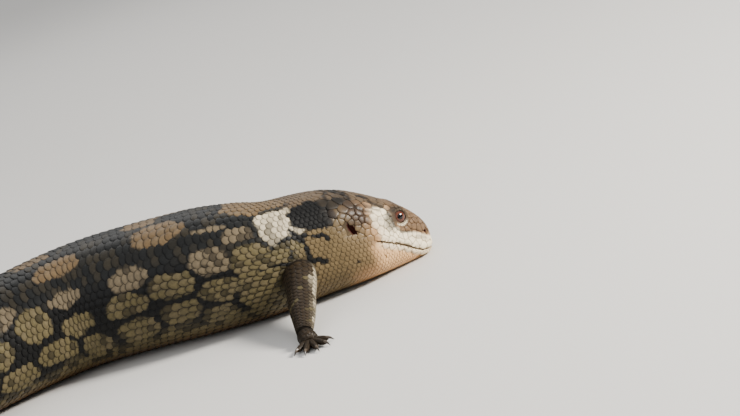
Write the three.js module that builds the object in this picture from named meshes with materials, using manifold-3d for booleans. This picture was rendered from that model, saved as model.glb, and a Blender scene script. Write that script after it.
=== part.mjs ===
// A blotched blue-tongued skink lying at rest, life size, in millimetres.
// The floor is z = 0, +Z is up and the head points along +X.
// Every length along the animal is measured behind the tip of the snout, following the spine.

import * as THREE from 'three';
import { mergeVertices } from 'three/addons/utils/BufferGeometryUtils.js';
import Module from 'manifold-3d';

const wasm = await Module();
wasm.setup();

// Driving sizes
const HEAD_END = 48;
const NECK_END = 64;
const TORSO_CUTS = [120, 186];
const VENT = 276;
const TAIL_CUTS = [322, 372];
const TAIL_END = 427.4;
const GAP = 0.3;
const SNOUT_START = 0.04;
const SNOUT_EASE = 1.35;

// Body outline: distance behind the snout, half width, height of the back, height of the belly,
// share of the height at which the body is widest, how square the underside is and the back is.
// Belly heights just below the floor make the flats that the animal lies on.
const STATIONS = [
  [0, 0, 8.8, 8.8, 0.5, 2.6, 2.3],
  [1.5, 5.4, 15.2, 1.9, 0.44, 2.7, 2.4],
  [5, 9.4, 20.6, 0.2, 0.42, 2.8, 2.6],
  [11, 13.2, 26.8, -0.2, 0.4, 2.8, 2.8],
  [18, 16.6, 32.3, -0.3, 0.4, 2.7, 2.85],
  [26, 19.8, 37.9, -0.3, 0.38, 2.6, 2.7],
  [34, 22.4, 42.5, -0.3, 0.38, 2.5, 2.5],
  [44, 23.6, 46.3, -0.3, 0.38, 2.4, 2.3],
  [56, 23.8, 48.7, -0.3, 0.4, 2.3, 2.15],
  [68, 26, 50, -0.5, 0.42, 2.3, 2.15],
  [85, 30, 54, -0.8, 0.42, 2.3, 2.15],
  [110, 32.5, 56.8, -0.8, 0.42, 2.3, 2.15],
  [150, 34, 57, -0.8, 0.42, 2.3, 2.15],
  [190, 33.5, 55.4, -0.8, 0.42, 2.3, 2.15],
  [222, 30.6, 51.6, -0.8, 0.42, 2.3, 2.15],
  [255, 25, 44, -0.8, 0.42, 2.3, 2.15],
  [278, 18.8, 34, -0.6, 0.42, 2.3, 2.15],
  [301, 15.6, 27.5, -0.6, 0.44, 2.3, 2.15],
  [336, 12.2, 21.5, -0.5, 0.45, 2.2, 2.15],
  [376, 8.2, 14.8, -0.4, 0.46, 2.2, 2.15],
  [411, 4, 8, -0.3, 0.48, 2.1, 2.15],
  [428, 0.6, 1.6, 0.2, 0.5, 2, 2.15],
];

// The spine seen from above, from the snout to the tip of the tail
const SPINE = [
  [72.6, 8.6], [50, 4.4], [28, -0.2], [12, -2.6], [-6, -3], [-30, 2], [-60, 11], [-92, 16],
  [-122, 9], [-150, -7], [-174, -27], [-200, -45], [-232, -57], [-266, -60], [-298, -53], [-322, -40],
  [-336, -28],
];

// Places on the head: behind the snout, sideways, up
const EYE = { s: 13.9, side: 9, up: 22.6, radius: 3.9 };
const EYE_AXIS = new THREE.Vector3(-0.2, 0.95, 0.24).normalize();
const LID = { reachAlong: 3.4, reachUp: 3.6, thick: 1.1, proud: 2.3 };
const EAR = { s: 38.4, side: 21.8, up: 28.8, halfLong: 3.6, halfWide: 1.45, depth: 3.2, lean: 0.28 };
const NOSTRIL = { s: 3.4, side: 7.2, up: 11.4, halfLong: 1.15, halfHigh: 0.95, depth: 1.8 };
// The line between the lips, seen from the side: behind the snout, up
const MOUTH = [
  [-2, 2.9], [2, 3], [6, 4], [10, 6.5], [14, 9.7], [18, 12.8], [22, 15.3], [26, 17.6], [29.5, 19.4],
];
const MOUTH_GAP = 0.5;
const MOUTH_DEPTH = 1.3;
const MOUTH_CORNER = 0.2;
const MOUTH_REACH = 60;
// Lips: distance from the mouth line, how far they spread and how far they stand out
const LIPS = [
  { above: 1.9, spread: 1.5, height: 0.75 },
  { above: -1.7, spread: 1.4, height: 0.6 },
  { above: 5, spread: 1.6, height: -0.35 },
];
const LIPS_END = 33;
// Swellings and hollows of the head: centre and reach along, sideways and up, then height
const HEAD_FORMS = {
  brow: { at: [12.8, 9.2, 26.8], reach: [5.8, 4.2, 3.2], height: 1.7 },
  eyeHollow: { at: [EYE.s, EYE.side + 3, EYE.up], reach: [6, 6, 4.6], height: -1.1 },
  canthus: { at: [7.2, 6.8, 18.2], reach: [6, 3.4, 2.8], height: 0.6 },
  loreHollow: { at: [8.4, 10, 14.2], reach: [4, 4, 2.6], height: -0.5 },
  cheek: { at: [31, 22, 13.5], reach: [11, 8, 10], height: 1.3 },
  earHollow: { at: [EAR.s, EAR.side, EAR.up], reach: [6, 8, 6], height: -0.8 },
};

const COLOURS = {
  head: 0xb39a7c, neck: 0x6f675a, back: 0x4a4a48, eye: 0x8c3f22, leg: 0x5d564a,
};

// Smooth curve through a list of points, with no overshoot between them
function smoothThrough(xs, ys) {
  const n = xs.length;
  const rise = xs.slice(1).map((x, i) => (ys[i + 1] - ys[i]) / (x - xs[i]));
  const slope = new Array(n).fill(0);
  slope[0] = rise[0];
  slope[n - 1] = rise[n - 2];
  for (let i = 1; i < n - 1; i++) {
    if (rise[i - 1] * rise[i] <= 0) continue;
    const before = xs[i] - xs[i - 1];
    const after = xs[i + 1] - xs[i];
    const a = 2 * after + before;
    const b = after + 2 * before;
    slope[i] = (a + b) / (a / rise[i - 1] + b / rise[i]);
  }
  return (x) => {
    let i = 0;
    while (i < n - 2 && x >= xs[i + 1]) i++;
    const h = xs[i + 1] - xs[i];
    const t = THREE.MathUtils.clamp((x - xs[i]) / h, 0, 1);
    const r = 1 - t;
    return (1 + 2 * t) * r * r * ys[i] + t * r * r * h * slope[i]
      + t * t * (3 - 2 * t) * ys[i + 1] - t * t * r * h * slope[i + 1];
  };
}

// Profiles run over the square root of the distance, which rounds the snout
const root = STATIONS.map((row) => Math.sqrt(row[0]));
const profile = [1, 2, 3, 4, 5, 6].map((k) => smoothThrough(root, STATIONS.map((row) => row[k])));
const mouthLine = smoothThrough(MOUTH.map((p) => p[0]), MOUTH.map((p) => p[1]));

const spineCurve = new THREE.CatmullRomCurve3(
  SPINE.map(([x, y]) => new THREE.Vector3(x, y, 0)), false, 'catmullrom', 0.5,
);
spineCurve.arcLengthDivisions = 800;
const spineLength = spineCurve.getLength();

// Origin, tailward direction and the animal's right at a distance behind the snout
function spineFrame(s) {
  const u = THREE.MathUtils.clamp(s / spineLength, 0, 1);
  const origin = spineCurve.getPointAt(u);
  const tailward = spineCurve.getTangentAt(u);
  const right = new THREE.Vector3(-tailward.y, tailward.x, 0);
  if (s < 0) origin.addScaledVector(tailward, s);
  return { origin, tailward, right };
}

// Presses what would sink below the floor flat onto it
function onFloor(geometry) {
  return moved(geometry, (p) => p.setZ(Math.max(p.z, 0)));
}

// Takes a point written as (behind the snout, to the right, up) to its place on the bent spine
function onSpine(p) {
  const { origin, right } = spineFrame(p.x);
  return origin.addScaledVector(right, p.y).setZ(Math.max(p.z, 0));
}

// Cross section: angle 0 is the back, a quarter turn the right flank, a half turn the belly
function section(s, angle, swell = 0) {
  const at = Math.sqrt(Math.max(s, 0));
  const [halfWidth, back, belly, waist, squareBelow, squareAbove] = profile.map((value) => value(at));
  const top = back + swell;
  const low = belly - swell;
  const middle = belly + (back - belly) * waist;
  const across = Math.sin(angle);
  const up = Math.cos(angle);
  const power = 2 / (up > 0 ? squareAbove : squareBelow);
  const side = (halfWidth + swell) * Math.sign(across) * Math.abs(across) ** power;
  const rise = Math.abs(up) ** power;
  return new THREE.Vector3(s, side, up > 0 ? middle + (top - middle) * rise : middle - (middle - low) * rise);
}

// A soft bump, 1 at its middle and 0 far away
function bump(distance, reach) {
  return Math.exp(-((distance / reach) ** 2));
}

// How far the head's flesh stands out from its plain section
function headRelief(p) {
  const side = Math.abs(p.y);
  let height = 0;
  for (const { at, reach, height: full } of Object.values(HEAD_FORMS)) {
    const away = Math.hypot((p.x - at[0]) / reach[0], (side - at[1]) / reach[1], (p.z - at[2]) / reach[2]);
    height += full * bump(away, 1);
  }
  const onLips = THREE.MathUtils.smoothstep(LIPS_END - p.x, 0, 8) * THREE.MathUtils.smoothstep(side, 0.5, 4);
  for (const { above, spread, height: full } of LIPS) {
    height += full * onLips * bump(p.z - mouthLine(p.x) - above, spread);
  }
  return height;
}

// Bends a closed cylinder: place gives the point for a share along it, an angle and a share of the radius
function bentCylinder(sides, rows, place) {
  const geometry = new THREE.CylinderGeometry(1, 1, 1, sides, rows);
  const position = geometry.attributes.position;
  for (let i = 0; i < position.count; i++) {
    const along = 0.5 - position.getY(i);
    const radius = Math.hypot(position.getX(i), position.getZ(i));
    const angle = Math.atan2(position.getX(i), position.getZ(i));
    const p = place(along, angle, Math.min(radius, 1));
    position.setXYZ(i, p.x, p.y, p.z);
  }
  return geometry;
}

// Closed solid of a geometry, turned the right way out if the bending mirrored it
function solidOf(geometry) {
  const bare = geometry.clone();
  bare.deleteAttribute('normal');
  bare.deleteAttribute('uv');
  const merged = mergeVertices(bare, 1e-4);
  const triangles = Array.from(merged.index.array);
  const position = merged.attributes.position;
  const corners = [new THREE.Vector3(), new THREE.Vector3(), new THREE.Vector3()];
  let volume = 0;
  const kept = [];
  for (let i = 0; i < triangles.length; i += 3) {
    const [a, b, c] = triangles.slice(i, i + 3);
    if (a === b || b === c || a === c) continue;
    kept.push(a, b, c);
    [a, b, c].forEach((v, k) => corners[k].fromBufferAttribute(position, v));
    volume += corners[0].dot(corners[1].cross(corners[2]));
  }
  if (volume < 0) {
    for (let i = 0; i < kept.length; i += 3) [kept[i], kept[i + 1]] = [kept[i + 1], kept[i]];
  }
  return new wasm.Manifold(new wasm.Mesh({
    numProp: 3,
    vertProperties: new Float32Array(position.array),
    triVerts: new Uint32Array(kept),
  }));
}

function geometryOf(solid) {
  const mesh = solid.getMesh();
  const geometry = new THREE.BufferGeometry();
  geometry.setAttribute('position', new THREE.BufferAttribute(mesh.vertProperties, 3));
  geometry.setIndex(new THREE.BufferAttribute(mesh.triVerts, 1));
  geometry.computeVertexNormals();
  return geometry;
}

// The largest piece of a cut solid, without crumbs
function largestOf(solid) {
  return solid.decompose().reduce((best, piece) => (piece.volume() > best.volume() ? piece : best));
}

// Moves every point of a geometry
function moved(geometry, move) {
  const position = geometry.attributes.position;
  for (let i = 0; i < position.count; i++) {
    const p = move(new THREE.Vector3().fromBufferAttribute(position, i));
    position.setXYZ(i, p.x, p.y, p.z);
  }
  return geometry;
}

// A length of the body between two distances behind the snout, still on a straight spine
function straightBody(from, to, sides, rows, { swell = 0, relief = null, ease = 1 } = {}) {
  return bentCylinder(sides, rows, (along, angle, radius) => {
    const s = from + (to - from) * along ** ease;
    const rim = section(s, angle, swell);
    const centre = new THREE.Vector3(s, 0, section(s, Math.PI / 2).z);
    if (radius < 0.5) return centre;
    if (relief) rim.addScaledVector(rim.clone().sub(centre).normalize(), relief(rim));
    return rim;
  });
}

function bodyLength(from, to, sides, rows, options) {
  return moved(straightBody(from, to, sides, rows, options), onSpine);
}

// A ball stretched to three half sizes, turned and set at a place
function stretchedBall(sizes, columns, rows, turn, centre) {
  return new THREE.SphereGeometry(1, columns, rows)
    .scale(...sizes)
    .applyQuaternion(turn)
    .translate(centre.x, centre.y, centre.z);
}

function mirroredSides(make) {
  return [1, -1].map((sign) => make(sign));
}

// Turns +Z onto a direction, with +X kept along the body
function facing(direction) {
  const up = direction.clone().normalize();
  const along = new THREE.Vector3(1, 0, 0).addScaledVector(up, -up.x).normalize();
  return new THREE.Quaternion().setFromRotationMatrix(
    new THREE.Matrix4().makeBasis(along, new THREE.Vector3().crossVectors(up, along), up),
  );
}

function eyeAxis(sign) {
  return new THREE.Vector3(EYE_AXIS.x, EYE_AXIS.y * sign, EYE_AXIS.z);
}

function eyeCentre(sign) {
  return new THREE.Vector3(EYE.s, EYE.side * sign, EYE.up);
}

function eyeBall(sign, radius, columns, rows) {
  const size = [radius, radius, radius];
  return stretchedBall(size, columns, rows, facing(eyeAxis(sign)), eyeCentre(sign));
}

// The rim of both lids: an oval ring round the opening of the eye
function lids(sign) {
  const ring = new THREE.TorusGeometry(1, 0.5, 7, 22);
  moved(ring, (p) => {
    const around = Math.atan2(p.y, p.x);
    const out = Math.hypot(p.x, p.y) - 1;
    const reach = new THREE.Vector2(Math.cos(around) * LID.reachAlong, Math.sin(around) * LID.reachUp);
    const grown = 1 + out * 2 * LID.thick / reach.length();
    return new THREE.Vector3(reach.x * grown, reach.y * grown, LID.proud + p.z * 2 * LID.thick);
  });
  const centre = eyeCentre(sign);
  return ring.applyQuaternion(facing(eyeAxis(sign))).translate(centre.x, centre.y, centre.z);
}

// A thin slab along the mouth line, from outside one cheek to outside the other
function mouthSlab() {
  const start = MOUTH[0][0];
  const end = MOUTH[MOUTH.length - 1][0];
  const steps = 12;
  const half = MOUTH_GAP / 2;
  const upper = [];
  const lower = [];
  for (let i = 0; i <= steps; i++) {
    const s = start + (end - start) * i / steps;
    const thin = i === steps ? MOUTH_CORNER : 1;
    upper.push(new THREE.Vector2(s, mouthLine(s) + half * thin));
    lower.push(new THREE.Vector2(s, mouthLine(s) - half * thin));
  }
  const slab = new THREE.ExtrudeGeometry(new THREE.Shape([...upper, ...lower.reverse()]), {
    depth: MOUTH_REACH, bevelEnabled: false,
  });
  return slab.rotateX(Math.PI / 2).translate(0, MOUTH_REACH / 2, 0);
}

function makeHead() {
  const sides = 44;
  const rows = 30;
  const options = { relief: headRelief, ease: SNOUT_EASE };
  let head = solidOf(straightBody(SNOUT_START, HEAD_END, sides, rows, options));
  const core = solidOf(straightBody(SNOUT_START, HEAD_END - 1, sides / 2, rows / 2, {
    ...options, swell: -MOUTH_DEPTH,
  }));
  head = head.subtract(solidOf(mouthSlab()).subtract(core));
  for (const sign of [1, -1]) {
    head = head.add(solidOf(lids(sign)));
    head = head.subtract(solidOf(eyeBall(sign, EYE.radius + GAP, 20, 14)));
    const earTurn = new THREE.Quaternion().setFromAxisAngle(new THREE.Vector3(0, 1, 0), EAR.lean);
    const earPlace = new THREE.Vector3(EAR.s, EAR.side * sign, EAR.up);
    const earSize = [EAR.halfWide, EAR.depth, EAR.halfLong];
    head = head.subtract(solidOf(stretchedBall(earSize, 12, 10, earTurn, earPlace)));
    const nostrilPlace = new THREE.Vector3(NOSTRIL.s, NOSTRIL.side * sign, NOSTRIL.up);
    const nostrilSize = [NOSTRIL.halfLong, NOSTRIL.depth, NOSTRIL.halfHigh];
    head = head.subtract(solidOf(stretchedBall(nostrilSize, 8, 6, new THREE.Quaternion(), nostrilPlace)));
  }
  return moved(geometryOf(largestOf(head)), onSpine);
}

// Limbs. Joints are written as (towards the head, outwards, up) from the spine at the limb's station
const FORE = { station: 66, thick: [9.2, 7.8, 6.6, 6.2, 5, 3.8], flat: [8.4, 7.2, 6.2, 5.8, 4.5, 3.3] };
const HIND = { station: 258, thick: [12, 10.4, 7.8, 7, 5.6, 4.3], flat: [10, 8.8, 7, 6.2, 4.9, 3.5] };
const LIMB_SHARES = [0, 0.22, 0.48, 0.64, 0.84, 1];
const ELBOW_SHARE = 0.5;
const WRIST_SHARE = 0.93;
const PALM = { foreReach: 5.4, hindReach: 6.6, height: 2.5, heelRadius: 4.2, toeRadius: 4.5, past: 3 };
const TOE = { base: 1.7, tip: 1.3, knuckleHeight: 2.2, tipHeight: 1.5, start: 1.2, beyondPalm: 3.4 };
const CLAW = { back: 1.2, length: 2.4, base: 0.95, tip: 0.28, rootHeight: 1.9, tipHeight: 0.5 };

// Toes: angle off the foot's own direction in degrees, and length without the claw
const FINGERS = [[54, 6], [26, 8.4], [2, 9.4], [-22, 9], [-50, 6.4]];
const TOES = [[50, 5.6], [26, 8], [4, 10.4], [-18, 11.6], [-50, 7.6]];

const LIMBS = [
  { name: 'fore_right', kind: FORE, sign: 1, digits: FINGERS, point: -84,
    joints: [[0, 18, 19], [0, 29, 17], [-3, 43, 11.5], [-5, 54, 7.6], [-7, 64, 4.2]] },
  { name: 'fore_left', kind: FORE, sign: -1, digits: FINGERS, point: -38,
    joints: [[0, 18, 19], [-5, 28, 17], [-10, 41, 11.5], [-3, 51, 7.6], [5, 57, 4.2]] },
  { name: 'hind_right', kind: HIND, sign: 1, digits: TOES, point: -104,
    joints: [[2, 12, 16], [1, 25, 15], [-4, 42, 10.5], [-14, 49, 7.6], [-23, 55, 4.4]] },
  { name: 'hind_left', kind: HIND, sign: -1, digits: TOES, point: -76,
    joints: [[2, 12, 16], [6, 25, 15], [8, 43, 10.5], [0, 52, 7.6], [-7, 60, 4.4]] },
];

function limbCurve(limb) {
  const { origin, tailward, right } = spineFrame(limb.kind.station);
  const forward = tailward.clone().negate();
  const out = right.clone().multiplyScalar(limb.sign);
  const points = limb.joints.map(([ahead, outwards, up]) => origin.clone()
    .addScaledVector(forward, ahead).addScaledVector(out, outwards).setZ(up));
  const curve = new THREE.CatmullRomCurve3(points, false, 'centripetal');
  const angle = THREE.MathUtils.degToRad(limb.point);
  const pointing = forward.clone().multiplyScalar(Math.cos(angle)).addScaledVector(out, -Math.sin(angle));
  return { curve, pointing };
}

// Cross frame of a limb at a share of its length: flat side and thick side
function limbFrame(curve, share) {
  const tangent = curve.getTangentAt(share);
  const flat = new THREE.Vector3(0, 0, 1).cross(tangent).normalize();
  return { centre: curve.getPointAt(share), flat, up: tangent.clone().cross(flat) };
}

function limbLength(limb, curve, from, to, rows) {
  const thick = smoothThrough(LIMB_SHARES, limb.kind.thick);
  const flatness = smoothThrough(LIMB_SHARES, limb.kind.flat);
  return bentCylinder(14, rows, (along, angle, radius) => {
    const share = from + (to - from) * along;
    const { centre, flat, up } = limbFrame(curve, share);
    return centre
      .addScaledVector(flat, Math.sin(angle) * radius * thick(share))
      .addScaledVector(up, Math.cos(angle) * radius * flatness(share));
  });
}

// A round-ended tapering rod between two points, flat where it meets the floor
function taperedRod(start, end, startRadius, endRadius, columns, rows) {
  const axis = end.clone().sub(start);
  const length = axis.length();
  const turn = new THREE.Quaternion().setFromUnitVectors(new THREE.Vector3(0, 1, 0), axis.normalize());
  const rod = new THREE.SphereGeometry(1, columns, rows);
  return moved(rod, (p) => {
    const share = (p.y + 1) / 2;
    const blunt = Math.sqrt(Math.max(0, 1 - Math.abs(p.y) ** 4));
    const round = Math.hypot(p.x, p.z) || 1;
    const radius = (startRadius + (endRadius - startRadius) * share) * blunt / round;
    const q = new THREE.Vector3(p.x * radius, share * length, p.z * radius);
    q.applyQuaternion(turn).add(start);
    return q.setZ(Math.max(q.z, 0));
  });
}

// Foot with its digits and claws, from the wrist or ankle to the tips
function makeFoot(limb, curve, pointing) {
  const ahead = (from, distance, height) => from.clone().addScaledVector(pointing, distance).setZ(height);
  const wrist = curve.getPointAt(1);
  const palm = ahead(wrist, limb.kind === FORE ? PALM.foreReach : PALM.hindReach, PALM.height);
  const start = WRIST_SHARE + GAP / curve.getLength();
  let foot = solidOf(onFloor(limbLength(limb, curve, start, 1, 2)));
  const heel = ahead(wrist, -0.5, PALM.height);
  const palmEnd = ahead(palm, PALM.past, PALM.height);
  foot = foot.add(solidOf(taperedRod(heel, palmEnd, PALM.heelRadius, PALM.toeRadius, 12, 8)));
  for (const [degrees, length] of limb.digits) {
    const turn = THREE.MathUtils.degToRad(degrees) * limb.sign;
    const along = pointing.clone().applyAxisAngle(new THREE.Vector3(0, 0, 1), turn);
    const out = (distance, height) => palm.clone().addScaledVector(along, distance).setZ(height);
    const reach = TOE.beyondPalm + length;
    const toe = [out(TOE.start, TOE.knuckleHeight), out(reach, TOE.tipHeight)];
    foot = foot.add(solidOf(taperedRod(...toe, TOE.base, TOE.tip, 8, 6)));
    const claw = [out(reach - CLAW.back, CLAW.rootHeight), out(reach + CLAW.length, CLAW.tipHeight)];
    foot = foot.add(solidOf(taperedRod(...claw, CLAW.base, CLAW.tip, 6, 5)));
  }
  return geometryOf(largestOf(foot));
}

const materials = Object.fromEntries(Object.entries(COLOURS).map(([name, color]) => [
  name, new THREE.MeshStandardMaterial({ color, roughness: name === 'eye' ? 0.15 : 0.55, metalness: 0 }),
]));

const skink = new THREE.Group();

function addPart(name, geometry, material) {
  const mesh = new THREE.Mesh(geometry, materials[material]);
  mesh.name = name;
  skink.add(mesh);
}

addPart('head', makeHead(), 'head');
mirroredSides((sign) => {
  const ball = moved(eyeBall(sign, EYE.radius, 20, 14), onSpine);
  addPart(sign > 0 ? 'eye_right' : 'eye_left', ball, 'eye');
});

const cuts = [HEAD_END, NECK_END, ...TORSO_CUTS, VENT, ...TAIL_CUTS, TAIL_END];
const bodyParts = [
  ['neck', 32, 5], ['torso_front', 32, 9], ['torso_middle', 32, 9], ['torso_rear', 32, 10],
  ['tail_base', 24, 8], ['tail_middle', 20, 8], ['tail_tip', 16, 10],
];
bodyParts.forEach(([name, sides, rows], i) => {
  const last = i === bodyParts.length - 1;
  const end = cuts[i + 1] - (last ? 0 : GAP / 2);
  addPart(name, bodyLength(cuts[i] + GAP / 2, end, sides, rows), i < 1 ? 'neck' : 'back');
});

// The limbs are trimmed to a body grown by the gap, so they sit against the flank
const flank = {
  fore: solidOf(bodyLength(HEAD_END - 10, TORSO_CUTS[0] + 10, 32, 16, { swell: GAP })),
  hind: solidOf(bodyLength(TORSO_CUTS[1], TAIL_CUTS[0], 32, 16, { swell: GAP })),
};
for (const limb of LIMBS) {
  const { curve, pointing } = limbCurve(limb);
  const length = curve.getLength();
  const body = limb.kind === FORE ? flank.fore : flank.hind;
  const [upper, lower] = limb.kind === FORE ? ['upper_arm', 'forearm'] : ['thigh', 'shin'];
  const side = limb.name.split('_')[1];
  const elbow = [ELBOW_SHARE - GAP / 2 / length, ELBOW_SHARE + GAP / 2 / length];
  const root = solidOf(onFloor(limbLength(limb, curve, 0, elbow[0], 7)));
  addPart(`${upper}_${side}`, geometryOf(largestOf(root.subtract(body))), 'leg');
  const shank = solidOf(onFloor(limbLength(limb, curve, elbow[1], WRIST_SHARE, 6)));
  addPart(`${lower}_${side}`, geometryOf(largestOf(shank.subtract(body))), 'leg');
  addPart(`${limb.kind === FORE ? 'hand' : 'foot'}_${side}`, makeFoot(limb, curve, pointing), 'leg');
}

// The origin is under the middle of the whole animal, on the floor
const bounds = new THREE.Box3().setFromObject(skink, true);
const middle = bounds.getCenter(new THREE.Vector3());
skink.position.set(-middle.x, -middle.y, 0);

export default skink;
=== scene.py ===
import math

import bpy
import numpy as np
from mathutils import Matrix, Vector
from mathutils.bvhtree import BVHTree
from mathutils.kdtree import KDTree


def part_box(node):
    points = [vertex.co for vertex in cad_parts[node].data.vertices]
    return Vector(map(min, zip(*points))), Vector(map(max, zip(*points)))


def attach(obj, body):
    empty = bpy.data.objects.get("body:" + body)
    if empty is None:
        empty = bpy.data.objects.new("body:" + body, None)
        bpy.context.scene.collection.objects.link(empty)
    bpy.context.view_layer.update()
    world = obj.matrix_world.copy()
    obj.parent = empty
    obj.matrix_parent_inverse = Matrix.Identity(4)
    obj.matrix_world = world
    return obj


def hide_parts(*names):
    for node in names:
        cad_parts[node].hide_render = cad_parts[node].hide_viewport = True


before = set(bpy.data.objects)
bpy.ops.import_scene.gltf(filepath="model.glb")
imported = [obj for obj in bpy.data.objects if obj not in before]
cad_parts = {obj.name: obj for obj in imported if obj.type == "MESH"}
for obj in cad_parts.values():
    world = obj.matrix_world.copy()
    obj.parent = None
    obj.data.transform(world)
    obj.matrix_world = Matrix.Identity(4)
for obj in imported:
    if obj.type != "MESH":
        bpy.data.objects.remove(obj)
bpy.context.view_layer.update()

bl_info = {
    "name": "Blotched Blue-tongued Skink",
    "version": (1, 0, 0),
    "blender": (4, 5, 0),
    "location": "View3D > Sidebar > Skink",
    "description": "Dresses the packed skink in skin, scales, head shields, eyes and claws",
    "category": "Object",
}

MM = 0.001
SEED = 11

# Body outline: distance behind the snout, half width, back, belly, share of the height where it is
# widest, squareness below and above. All in millimetres, as in the solids.
STATIONS = (
    (0, 0, 8.8, 8.8, 0.5, 2.6, 2.3), (1.5, 5.4, 15.2, 1.9, 0.44, 2.7, 2.4),
    (5, 9.4, 20.6, 0.2, 0.42, 2.8, 2.6), (11, 13.2, 26.8, -0.2, 0.4, 2.8, 2.8),
    (18, 16.6, 32.3, -0.3, 0.4, 2.7, 2.85), (26, 19.8, 37.9, -0.3, 0.38, 2.6, 2.7),
    (34, 22.4, 42.5, -0.3, 0.38, 2.5, 2.5), (44, 23.6, 46.3, -0.3, 0.38, 2.4, 2.3),
    (56, 23.8, 48.7, -0.3, 0.4, 2.3, 2.15), (68, 26, 50, -0.5, 0.42, 2.3, 2.15),
    (85, 30, 54, -0.8, 0.42, 2.3, 2.15), (110, 32.5, 56.8, -0.8, 0.42, 2.3, 2.15),
    (150, 34, 57, -0.8, 0.42, 2.3, 2.15), (190, 33.5, 55.4, -0.8, 0.42, 2.3, 2.15),
    (222, 30.6, 51.6, -0.8, 0.42, 2.3, 2.15), (255, 25, 44, -0.8, 0.42, 2.3, 2.15),
    (278, 18.8, 34, -0.6, 0.42, 2.3, 2.15), (301, 15.6, 27.5, -0.6, 0.44, 2.3, 2.15),
    (336, 12.2, 21.5, -0.5, 0.45, 2.2, 2.15), (376, 8.2, 14.8, -0.4, 0.46, 2.2, 2.15),
    (411, 4, 8, -0.3, 0.48, 2.1, 2.15), (428, 0.6, 1.6, 0.2, 0.5, 2, 2.15),
)
SPINE = (
    (72.6, 8.6), (50, 4.4), (28, -0.2), (12, -2.6), (-6, -3), (-30, 2), (-60, 11), (-92, 16), (-122, 9),
    (-150, -7), (-174, -27), (-200, -45), (-232, -57), (-266, -60), (-298, -53), (-322, -40), (-336, -28),
)
SNOUT_START = 0.04
HEAD_END = 48
VENT = 276
TAIL_END = 427.2

# Head features: behind the snout, sideways, up
EYE = (13.9, 9, 22.6)
EYE_RADIUS = 3.9
EYE_GAP = 0.12
IRIS_DEGREES = 52
EYE_AXIS = (-0.2, 0.95, 0.24)
LID = {"thick": 1.1, "proud": 2.3, "fit": 0.92}
LID_OPENING = (2.8, 2.7)
LID_REACH = 4.9
EAR = (38.4, 21.8, 28.8)
EAR_SIZE = (1.45, 3.2, 3.6)
EAR_LEAN = 0.28
NOSTRIL = (3.4, 7.2, 11.4)
NOSTRIL_SIZE = (1.15, 1.8, 0.95)
# Openings: place, half sizes, lean, and the bare margin that the shields leave round each
OPENINGS = ((EAR, EAR_SIZE, EAR_LEAN, 0.8), (NOSTRIL, NOSTRIL_SIZE, 0, 0.5))
MOUTH = (
    (-2, 2.9), (2, 3), (6, 4), (10, 6.5), (14, 9.7), (18, 12.8), (22, 15.3), (26, 17.6), (29.5, 19.4),
)
LIPS = ((1.9, 1.5, 0.75), (-1.7, 1.4, 0.6), (5, 1.6, -0.35))
LIPS_END = 33
HEAD_FORMS = (
    ((12.8, 9.2, 26.8), (5.8, 4.2, 3.2), 1.7), ((13.9, 12, 22.6), (6, 6, 4.6), -1.1),
    ((7.2, 6.8, 18.2), (6, 3.4, 2.8), 0.6), ((8.4, 10, 14.2), (4, 4, 2.6), -0.5),
    ((31, 22, 13.5), (11, 8, 10), 1.3), ((38.4, 21.8, 28.8), (6, 8, 6), -0.8),
)

# Limbs: joints are (towards the head, outwards, up) from the spine at the station
FORE = {
    "station": 66, "thick": (9.2, 7.8, 6.6, 6.2, 5, 3.8), "flat": (8.4, 7.2, 6.2, 5.8, 4.5, 3.3),
    "palm": 5.4, "digits": ((54, 6), (26, 8.4), (2, 9.4), (-22, 9), (-50, 6.4)),
}
HIND = {
    "station": 258, "thick": (12, 10.4, 7.8, 7, 5.6, 4.3), "flat": (10, 8.8, 7, 6.2, 4.9, 3.5),
    "palm": 6.6, "digits": ((50, 5.6), (26, 8), (4, 10.4), (-18, 11.6), (-50, 7.6)),
}
LIMB_SHARES = (0, 0.22, 0.48, 0.64, 0.84, 1)
# Kind, side (1 the animal's right), which way the foot points in degrees, and the joints
LIMBS = {
    "fore_right": (FORE, 1, -84,
                   ((0, 18, 19), (0, 29, 17), (-3, 43, 11.5), (-5, 54, 7.6), (-7, 64, 4.2))),
    "fore_left": (FORE, -1, -38,
                  ((0, 18, 19), (-5, 28, 17), (-10, 41, 11.5), (-3, 51, 7.6), (5, 57, 4.2))),
    "hind_right": (HIND, 1, -104,
                   ((2, 12, 16), (1, 25, 15), (-4, 42, 10.5), (-14, 49, 7.6), (-23, 55, 4.4))),
    "hind_left": (HIND, -1, -76,
                  ((2, 12, 16), (6, 25, 15), (8, 43, 10.5), (0, 52, 7.6), (-7, 60, 4.4))),
}
PALM = {"height": 2.5, "heel": 4.2, "toe": 4.5, "past": 3, "back": -2.6}
TOE = {"base": 1.7, "tip": 1.3, "knuckle": 2.2, "height": 1.5, "start": 1.2, "beyond": 3.4}
CLAW = {"back": 1.2, "length": 2.25, "root": 1.9, "end": 0.5, "thick": 0.836, "tip": 0.07, "arch": 0.55}

# Photograph's viewpoint: degrees, millimetres, and millimetres a pixel at the animal
PHOTO_WIDTH_PX = 740
VIEW = {"elevation": 14, "roll": 19, "distance": 900, "mm_per_px": 0.46, "target": (50.1, 0, 30.4)}
SENSOR_MM = 36


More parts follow.
